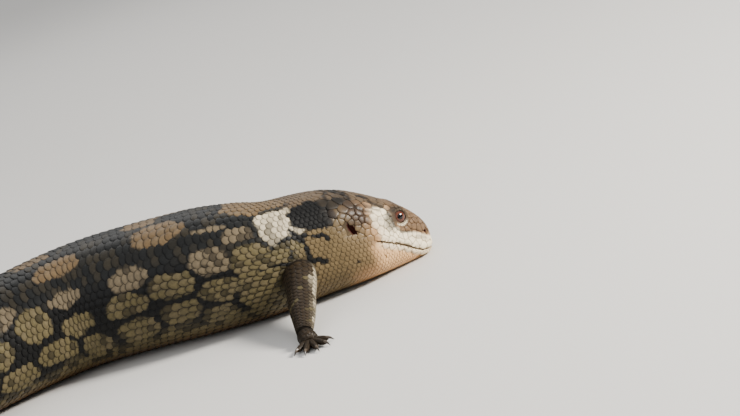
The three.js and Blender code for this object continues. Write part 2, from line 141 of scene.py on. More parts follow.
def smooth_through(xs, ys):
    """A smooth curve through points that never overshoots between them."""
    xs, ys = np.asarray(xs, float), np.asarray(ys, float)
    h = np.diff(xs)
    rise = np.diff(ys) / h
    slope = np.zeros(len(xs))
    slope[0], slope[-1] = rise[0], rise[-1]
    for i in range(1, len(xs) - 1):
        if rise[i - 1] * rise[i] > 0:
            a, b = 2 * h[i] + h[i - 1], h[i] + 2 * h[i - 1]
            slope[i] = (a + b) / (a / rise[i - 1] + b / rise[i])

    def value(x):
        x = np.asarray(x, float)
        i = np.clip(np.searchsorted(xs, x, side="right") - 1, 0, len(xs) - 2)
        t = np.clip((x - xs[i]) / h[i], 0, 1)
        r = 1 - t
        return ((1 + 2 * t) * r * r * ys[i] + t * r * r * h[i] * slope[i]
                + t * t * (3 - 2 * t) * ys[i + 1] - t * t * r * h[i] * slope[i + 1])

    return value


PROFILE = [
    smooth_through([math.sqrt(row[0]) for row in STATIONS], [row[k] for row in STATIONS])
    for k in range(1, 7)
]
mouth_line = smooth_through([p[0] for p in MOUTH], [p[1] for p in MOUTH])


def smoothstep(x, low, high):
    """0 below low, 1 above high, and a smooth rise between."""
    t = np.clip((x - low) / (high - low), 0, 1)
    return t * t * (3 - 2 * t)


def unit(v):
    """Vectors brought to length 1."""
    return v / np.maximum(np.linalg.norm(v, axis=-1, keepdims=True), 1e-9)


def spline(points, steps, centripetal=False):
    """Catmull-Rom curve through points, sampled evenly in each span."""
    p = np.asarray(points, float)
    p = np.vstack([2 * p[0] - p[1], p, 2 * p[-1] - p[-2]])
    t = (np.arange(steps) / steps)[:, None]
    runs = []
    for a, b, c, d in zip(p, p[1:], p[2:], p[3:]):
        if centripetal:
            k0, k1, k2 = [np.linalg.norm(q - r) ** 0.5 for q, r in ((b, a), (c, b), (d, c))]
            m = ((b - a) / k0 - (c - a) / (k0 + k1) + (c - b) / k1) * k1
            n = ((c - b) / k1 - (d - b) / (k1 + k2) + (d - c) / k2) * k1
        else:
            m, n = (c - a) / 2, (d - b) / 2
        runs.append(b + m * t + (3 * (c - b) - 2 * m - n) * t**2 + (2 * (b - c) + m + n) * t**3)
    return np.vstack(runs + [p[-2:-1]])


def run_length(points):
    """Distance along a run of points, at each of them."""
    return np.concatenate([[0], np.cumsum(np.linalg.norm(np.diff(points, axis=0), axis=1))])


SPINE_POINTS = spline(SPINE, 100)
SPINE_RUN = run_length(SPINE_POINTS)


def along_spine(s):
    """Place on the floor plan at distances behind the snout."""
    return np.stack([np.interp(s, SPINE_RUN, SPINE_POINTS[:, k]) for k in (0, 1)], -1)


def spine_frame(s):
    """Place, tailward direction and the animal's right at distances behind the snout."""
    s = np.asarray(s, float)
    tailward = unit(along_spine(np.minimum(s + 0.5, SPINE_RUN[-1])) - along_spine(np.maximum(s - 0.5, 0)))
    place = along_spine(s) + np.minimum(s, 0)[..., None] * tailward
    return place, tailward, np.stack([-tailward[..., 1], tailward[..., 0]], -1)


def on_spine(p):
    """Takes (behind the snout, to the right, up) to its place on the bent spine, on or above the floor."""
    place, _, right = spine_frame(p[..., 0])
    return np.concatenate([place + right * p[..., 1:2], np.maximum(p[..., 2:3], 0)], -1)


def head_relief(p):
    """How far the jaw, brows, snout and lips stand out from the plain head."""
    side = np.abs(p[..., 1])
    out = np.zeros(side.shape)
    for at, reach, height in HEAD_FORMS:
        far = ((p[..., 0] - at[0]) / reach[0]) ** 2 + ((side - at[1]) / reach[1]) ** 2
        out += height * np.exp(-far - ((p[..., 2] - at[2]) / reach[2]) ** 2)
    on_lips = smoothstep(LIPS_END - p[..., 0], 0, 8) * smoothstep(side, 0.5, 4)
    for above, spread, height in LIPS:
        out += height * on_lips * np.exp(-((p[..., 2] - mouth_line(p[..., 0]) - above) / spread) ** 2)
    return out


def body_section(s, angle):
    """Points of the straightened body: angle 0 is the back, a quarter turn the right flank."""
    half_width, back, belly, waist, below, above = [f(np.sqrt(np.maximum(s, 0))) for f in PROFILE]
    middle = belly + (back - belly) * waist
    across, up = np.sin(angle), np.cos(angle)
    power = 2 / np.where(up > 0, above, below)
    side = half_width * np.sign(across) * np.abs(across) ** power
    reach = np.where(up > 0, back - middle, belly - middle)
    p = np.stack([s + 0 * side, side, middle + reach * np.abs(up) ** power], -1)
    outward = unit(p - np.stack([p[..., 0], 0 * side, middle + 0 * side], -1))
    relief = np.where(p[..., 0] <= HEAD_END, head_relief(p), 0)
    return p + outward * relief[..., None]


class Hide:
    """A closed surface measured in millimetres along it and in shares of its girth around it."""

    def __init__(self, along, points):
        self.along = np.asarray(along, float)
        self.points = points
        centre = points.mean(1, keepdims=True)
        rows = np.gradient(points, axis=0)
        around = np.roll(points, -1, 1) - np.roll(points, 1, 1)
        normals = unit(np.cross(around, rows))
        if (normals * (points - centre)).sum() < 0:
            normals = -normals
        self.normals = normals
        self.girth = np.linalg.norm(points - np.roll(points, 1, 1), axis=-1).sum(1)

    def girth_at(self, u):
        """Length round the surface at distances u along it."""
        return np.interp(u, self.along, self.girth)

    def at(self, u, f):
        """Points and outward normals at distances u along and shares f around."""
        n, m = self.points.shape[:2]
        i = np.clip(np.interp(u, self.along, np.arange(n)), 0, n - 1.001)
        j = np.mod(f, 1) * m
        i0, j0 = i.astype(int), j.astype(int) % m
        a, b = (i - i0)[..., None], (j - np.floor(j))[..., None]
        i1, j1 = i0 + 1, (j0 + 1) % m
        mix = []
        for grid in (self.points, self.normals):
            near = grid[i0, j0] * (1 - b) + grid[i0, j1] * b
            mix.append(near * (1 - a) + (grid[i1, j0] * (1 - b) + grid[i1, j1] * b) * a)
        return mix[0], unit(mix[1])


def body_hide():
    """The whole body from snout to tail tip, with its points at even shares of the girth."""
    along = np.concatenate([
        SNOUT_START + (HEAD_END - SNOUT_START) * np.linspace(0, 1, 120, endpoint=False) ** 1.25,
        np.arange(HEAD_END, TAIL_END, 1.0), [TAIL_END],
    ])
    count, dense = 240, 1200
    angle = np.linspace(0, 2 * np.pi, dense + 1)
    rings = []
    for s in along:
        trace = body_section(np.full(dense + 1, s), angle)
        trace[:, 2] = np.maximum(trace[:, 2], 0)
        run = run_length(trace[:, 1:])
        even = np.interp(np.arange(count) / count * run[-1], run, angle)
        rings.append(on_spine(body_section(np.full(count, s), even)))
    return Hide(along, np.array(rings) + OFFSET)


def limb_path(kind, sign, joints):
    """A limb's middle line, the run along it, and the directions forward and out."""
    place, tailward, right = spine_frame(np.array(kind["station"]))
    forward, out = -tailward, right * sign
    points = [np.append(place + forward * a + out * o, up) for a, o, up in joints]
    path = spline(points, 60, centripetal=True)
    return path, run_length(path), forward, out


def limb_hide(name):
    """A limb from inside the shoulder or hip to the wrist or ankle."""
    kind, sign, _, joints = LIMBS[name]
    path, run, _, _ = limb_path(kind, sign, joints)
    share = np.linspace(0, 0.985, 70)
    centre = np.stack([np.interp(share * run[-1], run, path[:, k]) for k in range(3)], -1)
    tangent = unit(np.gradient(centre, axis=0))
    flat = unit(np.cross([0, 0, 1], tangent))
    up = np.cross(tangent, flat)
    angle = np.arange(96) / 96 * 2 * np.pi
    thick = smooth_through(LIMB_SHARES, kind["thick"])(share)[:, None, None]
    height = smooth_through(LIMB_SHARES, kind["flat"])(share)[:, None, None]
    points = centre[:, None] + flat[:, None] * (np.sin(angle)[None, :, None] * thick)
    points = points + up[:, None] * (np.cos(angle)[None, :, None] * height)
    points[..., 2] = np.maximum(points[..., 2], 0)
    return Hide(share * run[-1], points + OFFSET)


def rod_hide(start, end, start_radius, end_radius, rings=24, count=32):
    """A blunt-ended tapering rod, flat where it meets the floor."""
    start, end = np.asarray(start, float), np.asarray(end, float)
    share = (1 - np.cos(np.linspace(0.12, np.pi - 0.12, rings))) / 2
    axis = unit(end - start)
    side = unit(np.cross([0, 0, 1], axis))
    up = np.cross(axis, side)
    radius = (start_radius + (end_radius - start_radius) * share) * np.sqrt(1 - np.abs(2 * share - 1) ** 4)
    angle = np.arange(count) / count * 2 * np.pi
    ring = side * np.sin(angle)[:, None] + up * np.cos(angle)[:, None]
    points = (start + (end - start) * share[:, None])[:, None] + ring[None] * radius[:, None, None]
    points[..., 2] = np.maximum(points[..., 2], 0)
    return Hide(share * np.linalg.norm(end - start), points + OFFSET)


def foot_rods(name):
    """Palm and digits of a limb: (kind of piece, surface, start, end)."""
    kind, sign, point, joints = LIMBS[name]
    path, _, forward, out = limb_path(kind, sign, joints)
    turn = math.radians(point)
    heading = np.append(forward * math.cos(turn) - out * math.sin(turn), 0)
    wrist = path[-1]

    def ahead(start, direction, distance, height):
        p = start + direction * distance
        return np.array([p[0], p[1], height])

    palm = ahead(wrist, heading, kind["palm"], PALM["height"])
    heel = ahead(wrist, heading, PALM["back"], PALM["height"])
    end = ahead(palm, heading, PALM["past"], PALM["height"])
    rods = [("palm", rod_hide(heel, end, PALM["heel"], PALM["toe"]), heel, end)]
    for degrees, length in kind["digits"]:
        a = math.radians(degrees) * sign
        along = np.array([heading[0] * math.cos(a) - heading[1] * math.sin(a),
                          heading[0] * math.sin(a) + heading[1] * math.cos(a), 0])
        reach = TOE["beyond"] + length
        knuckle = ahead(palm, along, TOE["start"], TOE["knuckle"])
        tip = ahead(palm, along, reach, TOE["height"])
        rods.append(("toe", rod_hide(knuckle, tip, TOE["base"], TOE["tip"], 20, 16), knuckle, tip))
        root = ahead(palm, along, reach - CLAW["back"], CLAW["root"])
        point_end = ahead(palm, along, reach + CLAW["length"], CLAW["end"])
        rods.append(("claw", None, root, point_end))
    return rods


def head_point(place, sign):
    """A head feature's place in the frame, on the animal's right (1) or left (-1)."""
    return on_spine(np.array([place[0], place[1] * sign, place[2]], float)) + OFFSET


def head_axes(sign):
    """Columns: tailward, the animal's own side, up, at the eye."""
    _, tailward, right = spine_frame(np.array(EYE[0]))
    return np.stack([np.append(tailward, 0), np.append(right * sign, 0), [0, 0, 1]], 1)


def eye_axis(sign):
    """Direction the eye looks in."""
    return unit(head_axes(sign) @ np.array(EYE_AXIS))


# The frame's origin lies under the middle of the box; the eye's solid shows where the snout starts
OFFSET = np.zeros(3)
_low, _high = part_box("eye_right")
OFFSET = np.append((np.array((_low + _high) / 2) / MM - head_point(EYE, 1))[:2], 0)
BODY = body_hide()
LIMB_HIDES = {name: limb_hide(name) for name in LIMBS}
FOOT_RODS = {name: foot_rods(name) for name in LIMBS}


# Markings. Blotches: behind the snout, share of the girth from the back, half length and half height
BLOTCHES = (
    (116.5, 0.076, 13, 8, "tan"), (73.5, 0.025, 13.5, 8.5, "tan"), (90, 0.1, 6, 1.8, "rose"),
    (171, 0.09, 14, 7, "tan"), (128, 0.012, 9, 2.5, "tan"), (183, 0.015, 9, 3, "tan"),
    (222, 0.07, 12, 6, "tan"),
    (81, 0.134, 6, 4.5, "rose"), (92.5, 0.184, 9, 6.6, "rose"), (129, 0.178, 11, 5.5, "rose"),
    (172, 0.178, 12, 4.2, "rose"), (214, 0.15, 9, 5, "rose"), (262, 0.13, 8, 6, "rose"),
    (244, 0.06, 8, 5, "tan"),
    (110, 0.218, 10, 6.2, "khaki"), (78, 0.195, 7, 8.5, "khaki"), (92.5, 0.255, 9.5, 5.8, "khaki"),
    (76, 0.29, 10, 13, "khaki"), (198, 0.205, 12, 8, "khaki"), (168, 0.245, 14, 5.8, "khaki"),
    (134.5, 0.236, 12.5, 5.8, "khaki"), (190, 0.285, 15, 6, "khaki"), (132, 0.296, 12, 6, "khaki"),
    (110, 0.286, 9, 6, "khaki"), (160, 0.305, 12, 5.5, "khaki"), (96, 0.315, 8, 5, "khaki"),
    (224, 0.226, 10, 7, "khaki"), (216, 0.305, 12, 6, "khaki"), (240, 0.19, 9, 7, "khaki"),
    # The shoulder blotch is a pale patch painted paler still: partly a real blotch, partly a painted
    # highlight of the shoulder's glint.
    (241, 0.28, 12, 7, "khaki"), (264, 0.25, 10, 8, "khaki"), (66, 0.127, 9.5, 10.5, "shoulder"),
    (65, 0.225, 7, 10, "khaki"),
)
BELLY_START = 0.315
TAIL_BAND = 27
# How far the far side's blotches are moved along, so that the two sides aren't alike
FAR_SHIFT = 9
# Dark nape patch, partly a marking and partly painted shade: where it lies, its share of the girth, half
# length and half share
NAPE = {"at": 51, "share": 0.12, "half_long": 9.5, "half_share": 0.05}
# Draws for the random choices of single scales
BROWN_DRAW, ROSE_DRAW, FLECK_DRAW, SPECK_DRAW, EDGE_DRAW = 57, 97, 613, 811, 71


def colour_of(name):
    """A colour of the sidebar by its name."""
    return np.array(getattr(bpy.context.scene.skink_colours, name)[:3])


def fold(f):
    """Share of the girth from the back on either side: 0 the back, 0.25 the flank, 0.5 the belly."""
    return np.minimum(np.mod(f, 1), 1 - np.mod(f, 1))


def blend(colour, target, mask):
    """Moves a colour towards another by a mask of 0 to 1."""
    return colour + (target - colour) * mask[..., None]


def varied(colour, amount, rough):
    """Makes each scale a little lighter or darker."""
    return colour * (1 + amount * rough[..., None])


def lot(rough, draw):
    """Another random number, -1 to 1, drawn from a scale's first."""
    return np.sin(rough * draw)


def wave(s, f, pace, seed):
    """Smooth irregular variation between about -1 and 1."""
    rng = np.random.default_rng(seed)
    out = 0
    for _ in range(5):
        a, b, c = rng.uniform(0.5, 1.6), rng.uniform(-1.6, 1.6), rng.uniform(0, 6.28)
        out = out + np.sin(s * a / pace + f * 200 * b / pace + c)
    return out / 3


def body_marks(s, f, rough):
    """Colour of the body at (s, f); rough is a random number for each scale, -1 to 1."""
    g = fold(f)
    rough = np.broadcast_to(rough, s.shape)
    far = (np.mod(f, 1) > 0.5)
    brown = np.clip(lot(rough, BROWN_DRAW), 0, 1) * 0.16
    ground = blend(colour_of("slate"), colour_of("olive"), brown)
    ground = blend(ground, colour_of("black"), smoothstep(g + 0.02 * rough, 0.15, 0.2))
    colour = varied(ground, 0.22, rough)
    belly = smoothstep(g + 0.016 * rough + 0.01 * wave(s, f, 12, 3), BELLY_START, BELLY_START + 0.03)
    under = blend(colour_of("khaki") * 0.9, colour_of("belly"), smoothstep(g, 0.34, 0.42))
    speck = 1 - 0.7 * (lot(rough, SPECK_DRAW) > 0.8) * (g < 0.37)
    colour = blend(colour, varied(under, 0.14, rough) * speck[..., None], belly)
    pale, mask = blotches(s, f, g, far, rough, colour)
    return neck_marks(s, f, g, rough, blend(colour, pale, mask))


def blotches(s, f, g, far, rough, colour):
    """Colour of the pale blotches and tail bands, and where they lie."""
    girth = BODY.girth_at(s)
    best, second = np.full(s.shape, 9.0), np.full(s.shape, 9.0)
    chosen = colour.copy()
    for i, (at, share, length, height, name) in enumerate(BLOTCHES):
        shift = np.where(far, FAR_SHIFT * math.sin(3.1 * i), 0)
        d = np.sqrt(((s - at - shift) / length) ** 2 + ((g - share) * girth / height) ** 2)
        d = (d - 1) * (length + height) / 2 + 0.6 * rough + 0.8 * wave(s, f, 7, 20 + i)
        d = d + (1.3 if name == "shoulder" else 0.7) * wave(s, f, 2.6, 60 + i)
        closer = d < best
        second = np.where(closer, best, np.minimum(second, d))
        best = np.where(closer, d, best)
        chosen = np.where(closer[..., None], varied(colour_of(name), 0.16, rough), chosen)
    chosen = blend(chosen, colour_of("rose"), 0.3 * np.clip(lot(rough, ROSE_DRAW), 0, 1))
    near_shoulder = (s < 80) & (g < 0.2)
    often = 0.95 - 0.17 * open_flank(s, g) - np.where(near_shoulder, 0.75 * smoothstep(s, 60, 74), 0)
    fleck = (lot(rough, FLECK_DRAW) > often) & (g > 0.09)
    chosen = np.where(fleck[..., None], chosen * 0.4, chosen)
    banded = tail_bands(s, f, g, far, rough)
    chosen = np.where((banded & (best > 0))[..., None], varied(colour_of("khaki"), 0.14, rough), chosen)
    best = np.where(banded, np.minimum(best, -1.5), best)
    second = np.where(banded, 9, second)
    joined = (1 - smoothstep(s, 82, 88)) * (g > 0.18)
    parted = np.maximum(smoothstep(second - best, 1.7, 2.3), joined)
    return chosen, (1 - smoothstep(best, -0.2, 0.3)) * parted


def tail_bands(s, f, g, far, rough):
    """True in the pale bands of the tail."""
    past = smoothstep(s + 5 * wave(s, f, 9, 6), VENT - 8, VENT + 4)
    beat = np.mod(s + 6 * wave(s, f, 30, 5) * 0.4 + 9 * far, TAIL_BAND) / TAIL_BAND
    band = np.abs(beat - 0.5) * 2 - 0.25 * np.sin(g * 25) + 0.16 * rough
    return past * (1 - smoothstep(band, 0.42, 0.5)) > 0.5


def near_lines(s, f, lines, pace, seed, rough, soft):
    """How strongly thin wandering dark lines run at (s, f), 0 to 1."""
    girth = BODY.girth_at(s)
    dark = np.zeros(s.shape)
    for line, width in lines:
        away = line_distance(s, fold(f) * girth, [(at, share * girth) for at, share in line])
        away = away + 0.35 * wave(s, f, pace, seed) + 0.5 * rough
        dark = np.maximum(dark, 1 - smoothstep(away, width - soft, width + soft))
    return dark


def neck_marks(s, f, g, rough, colour):
    """Pale neck with a dark nape patch, partly a marking and partly painted shade, and thin wandering dark
    lines.
    """
    neck = 1 - smoothstep(s + 2.5 * rough + 40 * np.abs(g - 0.14) * -1, 54.5, 59.5)
    pale = varied(colour_of("khaki") * 0.74 + colour_of("cheek") * 0.13, 0.1, rough)
    colour = blend(colour, blend(colour_of("crown"), pale, smoothstep(g, 0.05, 0.13)), neck)
    # Nape patch: partly a dark marking, partly painted shade, laid in near black for the shade on the nape.
    nape = np.abs((s - NAPE["at"]) / NAPE["half_long"]) ** 3
    nape = nape + np.abs((g - NAPE["share"]) / NAPE["half_share"]) ** 3 + 0.2 * rough
    nape = nape + 0.35 * wave(s, f, 2.4, 33) + 0.2 * wave(s, f, 1.2, 34)
    dark = (1 - smoothstep(nape, 0.8, 1.25)) * smoothstep(s, 37, 43)
    dark = np.maximum(dark, near_lines(s, f, NECK_LINES, 2, 31, rough, 0.25))
    return blend(colour, colour_of("black") * 1.4, dark)


# Thin dark lines of the neck, as points (behind the snout, share of the girth), and their half widths
NECK_LINES = (
    (((62, 0.15), (59.5, 0.186), (58.5, 0.206), (58.5, 0.24), (59.5, 0.256), (59.5, 0.3)), 0.95),
    (((59.5, 0.256), (56.5, 0.258), (53.8, 0.266)), 1.2),
    (((57.5, 0.178), (53.5, 0.19), (50.5, 0.192), (49.2, 0.211)), 0.8),
    (((66, 0.19), (64.5, 0.208), (65.5, 0.225)), 0.7),
    (((76, 0.235), (70, 0.232), (66, 0.245)), 0.7),
)
# and those of the crown and cheek
CROWN_LINES = (
    (((40, 0.024), (34, 0.018)), 1.9),
    (((47, 0.075), (43, 0.058), (40, 0.03)), 0.7),
    (((35, 0.03), (32.6, 0.055), (32.5, 0.09)), 0.7),
    (((49, 0.1), (43.5, 0.09), (38.5, 0.088)), 2.3),
    (((40, 0.085), (35, 0.09)), 0.8),
    (((28, 0.05), (24, 0.045)), 0.6),
    (((40.3, 0.297), (40.8, 0.299)), 0.5),
)

# Creases of the face, as points (behind the snout, up), and how strong each is; the face is darkened along
# them as painted shade
CREASES = (
    (((24.5, 35.6), (22.5, 33.4), (19.6, 31), (18.5, 29.4), (17.6, 25.5), (17.4, 22), (16.5, 19.3),
      (14.5, 16.9), (9.5, 14.6)), 0.8),
    (((32.5, 37), (30.5, 34.8), (27.5, 32.4), (25.5, 31)), 0.75),
    (((28, 35.6), (25, 33), (22.4, 30.4)), 0.55),
    (((30, 31.5), (26, 28.6), (22, 26)), 0.35),
    (((15.5, 27), (12.6, 26.7), (10.2, 25.4), (9.3, 22.8)), 0.6),
    (((8, 11.6), (5.5, 9.8), (3.4, 8)), 0.5),
)

# Upper border of the pale face: behind the snout, up
PALE_FACE = (
    (0, 7.2), (3, 9.4), (6, 12), (9.5, 14.6), (14.5, 17.2), (16.8, 21), (18.2, 29.5), (24, 33), (34, 33),
)


def line_distance(x, y, line):
    """Distance of points from a run of straight lines."""
    out = np.full(x.shape, 1e3)
    for (x0, y0), (x1, y1) in zip(line, line[1:]):
        along = ((x - x0) * (x1 - x0) + (y - y0) * (y1 - y0)) / ((x1 - x0) ** 2 + (y1 - y0) ** 2)
        along = np.clip(along, 0, 1)
        out = np.minimum(out, np.hypot(x - x0 - along * (x1 - x0), y - y0 - along * (y1 - y0)))
    return out


def crease_depth(s, z):
    """How strongly a crease runs at (s, z) of the head's side, 0 to 1."""
    out = np.zeros(s.shape)
    for line, strength in CREASES:
        out = np.maximum(out, strength * (1 - smoothstep(line_distance(s, z, line), 0.25, 0.75)))
    return out


def head_marks(s, f, z, rough):
    """Colour of the head at (s, f) and height z."""
    g = fold(f)
    lip = z - mouth_line(s)
    colour = np.broadcast_to(colour_of("cheek"), s.shape + (3,))

    def lay(name, mask, scale=1.0):
        nonlocal colour
        colour = blend(colour, colour_of(name) * scale, np.clip(mask, 0, 1))

    lay("olive", 0.85 * smoothstep(s, 24, 36) * smoothstep(g, 0.1, 0.16) * (1 - smoothstep(g, 0.3, 0.36)))
    lay("crown", 1 - smoothstep(g + 0.01 * rough, 0.095, 0.135))
    lay("snout", (1 - smoothstep(s, 13, 20)) * smoothstep(lip, 4, 6.5) * (1 - smoothstep(g, 0.2, 0.32)))
    lay("chin", smoothstep(-lip, 0.3, 1.5) * smoothstep(s, -1, 1) * (1 - smoothstep(s, 26, 36)))
    lay("throat", smoothstep(g, 0.36, 0.44) * smoothstep(s, 16, 30))
    top = np.interp(s, *zip(*PALE_FACE))
    upper = smoothstep(lip, 0, 0.5) * smoothstep(top - z, -0.4, 0.6) * (1 - 0.3 * smoothstep(s, 21, 27))
    lay("cream", upper * (1 - smoothstep(s + rough, 25.5, 28.5)))
    lower = smoothstep(-lip, 0, 0.5) * (1 - smoothstep(-lip, 2.6, 4.5)) * (1 - smoothstep(s, 24, 31))
    lay("cream", lower * 0.8)
    # Painted highlight: a cream streak along the temple stands for the glare of light on the temple scales.
    glint_streak = np.exp(-((g - 0.155 - 0.0012 * (s - 22)) / 0.03) ** 2) * smoothstep(s, 15, 19)
    glint_streak = glint_streak * (1 - smoothstep(s, 26, 30))
    lay("cream", 0.6 * glint_streak)
    temple = smoothstep(s + 2 * rough, 26.5, 31) * smoothstep(g, 0.085, 0.11)
    lay("temple", temple * (1 - smoothstep(g, 0.165, 0.22)))
    back = smoothstep(s, 29, 35) * (1 - smoothstep(g, 0.09, 0.13))
    lay("slate", 0.6 * back, 1.6)
    # Slate over and behind the eye: partly a dark marking, partly painted shade cast by the brow.
    eye = np.hypot(s - EYE[0] - 1.5, (z - EYE[2] - 1.2) * 1.1)
    brow_shade = smoothstep(z - EYE[2] + 0.5 * (s - EYE[0]), -2.5, 1.5)
    lay("slate", 0.75 * (1 - smoothstep(eye, 4.6, 7.4)) * brow_shade)
    colour = varied(colour, 0.11, rough)
    # Painted shade: the colour is darkened along the face's creases.
    near = (g > 0.04) & (g < 0.33) & (s < 34)
    return colour * (1 - 0.85 * crease_depth(s, z) * near)[..., None]


def skin_marks(s, f, z, rough):
    """Colour of the head and body together."""
    on_body = smoothstep(s + 2 * rough, 34, 49)
    colour = blend(head_marks(s, f, z, rough), body_marks(s, f, rough), on_body)
    return blend(colour, colour_of("black") * 1.6, 0.85 * near_lines(s, f, CROWN_LINES, 2, 37, 0, 0.3))


def limb_marks(name, u, f, rough):
    """Dark upper side, a pale leading edge that is partly a painted highlight of glints, and khaki underside
    of a limb.
    """
    lead = 0.25 if LIMBS[name][1] > 0 else 0.75
    around = np.abs(np.mod(f - lead + 0.5, 1) - 0.5)
    under = smoothstep(fold(f) + 0.04 * rough, 0.27, 0.36)
    colour = blend(varied(colour_of("limb"), 0.3, rough), colour_of("khaki") * 0.85, under)
    spot = smoothstep(wave(u * 3, f * 0.35, 4, 41) + 0.5 * rough, 0.75, 0.95) * (1 - under)
    colour = blend(colour, colour_of("khaki") * 0.7, spot)
    # Pale leading edge: partly a pale stripe, partly a painted highlight of glints along the limb's front,
    # broken up scale by scale.
    edge = 1 - smoothstep(around + 0.02 * rough, 0.05, 0.11)
    edge = edge * (1 - smoothstep(u, 40, 52)) * np.clip(0.75 + 0.6 * lot(rough, EDGE_DRAW), 0.1, 1)
    return blend(colour, colour_of("cream") * 0.42, edge)


# Making meshes
def activate(obj):
    """Selects an object alone."""
    bpy.ops.object.select_all(action="DESELECT")
    obj.select_set(True)
    bpy.context.view_layer.objects.active = obj


def mesh_object(name, verts, faces):
    """An object from points in millimetres and a list of faces."""
    mesh = bpy.data.meshes.new(name)
    mesh.from_pydata((np.asarray(verts) * MM).tolist(), [], [list(map(int, f)) for f in faces])
    obj = bpy.data.objects.new(name, mesh)
    bpy.context.scene.collection.objects.link(obj)
    return obj


def ring_quads(n, m):
    """Faces between n rings of m points each."""
    i, j = np.meshgrid(np.arange(n - 1), np.arange(m), indexing="ij")
    k = (j + 1) % m
    return np.stack([i * m + j, i * m + k, (i + 1) * m + k, (i + 1) * m + j], -1).reshape(-1, 4)


def turn_outward(obj):
    """Makes all faces look out of the body."""
    activate(obj)
    bpy.ops.object.mode_set(mode="EDIT")
    bpy.ops.mesh.select_all(action="SELECT")
    bpy.ops.mesh.normals_make_consistent(inside=False)
    bpy.ops.object.mode_set(mode="OBJECT")


def tube(name, rings):
    """Closed tube through rings of points, with a flat face at each end."""
    n, m = rings.shape[:2]
    caps = [list(range(m))[::-1], list(range((n - 1) * m, n * m))]
    obj = mesh_object(name, rings.reshape(-1, 3), list(ring_quads(n, m)) + caps)
    turn_outward(obj)
    return obj


def fuse(obj, tools, operation):
    """Joins or cuts an object with all the tools at once, and removes them."""
    group = bpy.data.collections.new("tools")
    bpy.context.scene.collection.children.link(group)
    for tool in tools:
        group.objects.link(tool)
    activate(obj)
    mod = obj.modifiers.new("fuse", "BOOLEAN")
    mod.operation, mod.operand_type, mod.collection, mod.solver = operation, "COLLECTION", group, "MANIFOLD"
    bpy.ops.object.modifier_apply(modifier=mod.name)
    for tool in tools:
        bpy.data.objects.remove(tool)
    bpy.data.collections.remove(group)


def shade_smooth(obj):
    """Shades every face smooth."""
    obj.data.polygons.foreach_set("use_smooth", np.ones(len(obj.data.polygons), bool))
    obj.data.update()


def paint(mesh, name, values):
    """Stores a colour (three numbers) or a number for each point."""
    if values.ndim == 2:
        layer = mesh.color_attributes.new(name=name, type="FLOAT_COLOR", domain="POINT")
        layer.data.foreach_set("color", np.hstack([values, np.ones((len(values), 1))]).ravel())
    else:
        layer = mesh.attributes.new(name=name, type="FLOAT", domain="POINT")
        layer.data.foreach_set("value", values.astype(np.float32))


def ball(name, place, axes, sizes, segments=32, rings=20):
    """An ellipsoid with its half sizes along the given axes, in millimetres."""
    bpy.ops.object.select_all(action="DESELECT")
    bpy.ops.mesh.primitive_uv_sphere_add(segments=segments, ring_count=rings, radius=1)
    obj = bpy.context.object
    obj.name = name
    rows = np.hstack([np.asarray(axes) * np.asarray(sizes)[None], np.asarray(place).reshape(3, 1)])
    matrix = Matrix(np.vstack([rows, [[0, 0, 0, 1]]]).tolist())
    obj.data.transform(Matrix.Diagonal((MM, MM, MM, 1)) @ matrix)
    if matrix.determinant() < 0:
        obj.data.flip_normals()
    return obj


def finish_piece(obj, material):
    """Gives a piece its material, smooth shading and body."""
    obj.data.materials.clear()
    obj.data.materials.append(material)
    shade_smooth(obj)
    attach(obj, "root")


# Scales: patch of each on the unwrap, and half length and half width against the step and row
BAKE_PATCH = 0.003
SCALE_LENGTH, SCALE_WIDTH = 0.98, 0.74
# Widths of the rows of scales by share of the girth, against the mean
ROW_WIDTHS = ((0, 1.35), (0.12, 1.3), (0.2, 0.85), (0.33, 0.8), (0.42, 1.05), (0.5, 1.1))


def plate_pattern(sides, insets):
    """One plate, modelled as a thin disc whose top is inset into rings.

    Gives its points' radius, angle and level (1 on top, 0 below) and its triangles."""
    bpy.ops.object.select_all(action="DESELECT")
    bpy.ops.mesh.primitive_cylinder_add(vertices=sides, radius=1, depth=1, end_fill_type="TRIFAN")
    obj = bpy.context.object
    bpy.ops.object.mode_set(mode="EDIT")
    bpy.ops.mesh.select_mode(type="FACE")
    bpy.ops.mesh.select_all(action="DESELECT")
    bpy.ops.object.mode_set(mode="OBJECT")
    for face in obj.data.polygons:
        face.select = face.normal.z > 0.9
    bpy.ops.object.mode_set(mode="EDIT")
    for depth in insets:
        bpy.ops.mesh.inset(thickness=depth, depth=0)
    bpy.ops.mesh.select_all(action="SELECT")
    bpy.ops.mesh.quads_convert_to_tris()
    bpy.ops.object.mode_set(mode="OBJECT")
    co = np.array([v.co[:] for v in obj.data.vertices])
    triangles = np.array([p.vertices[:] for p in obj.data.polygons])
    bpy.data.objects.remove(obj)
    radius = np.hypot(co[:, 0], co[:, 1])
    return radius, np.arctan2(co[:, 1], co[:, 0]), (co[:, 2] > 0).astype(float), triangles


def on_throat(s, g, up):
    """True where the small overlapping scales of the throat and cheek lie, below and behind the lips."""
    low = (up - mouth_line(s) < -4.4) & (g > 0.2)
    behind = g > np.interp(s, [26, 29, 33, 40, 46], [0.36, 0.262, 0.235, 0.215, 0.19])
    return np.where(s < 27, low, behind)


def open_flank(s, g):
    """Flank behind the foreleg, where dark skin shows between the scales."""
    along = smoothstep(s, 60, 70) * (1 - smoothstep(s, 120, 165))
    return along * smoothstep(g, 0.17, 0.23) * (1 - smoothstep(g, 0.4, 0.44))


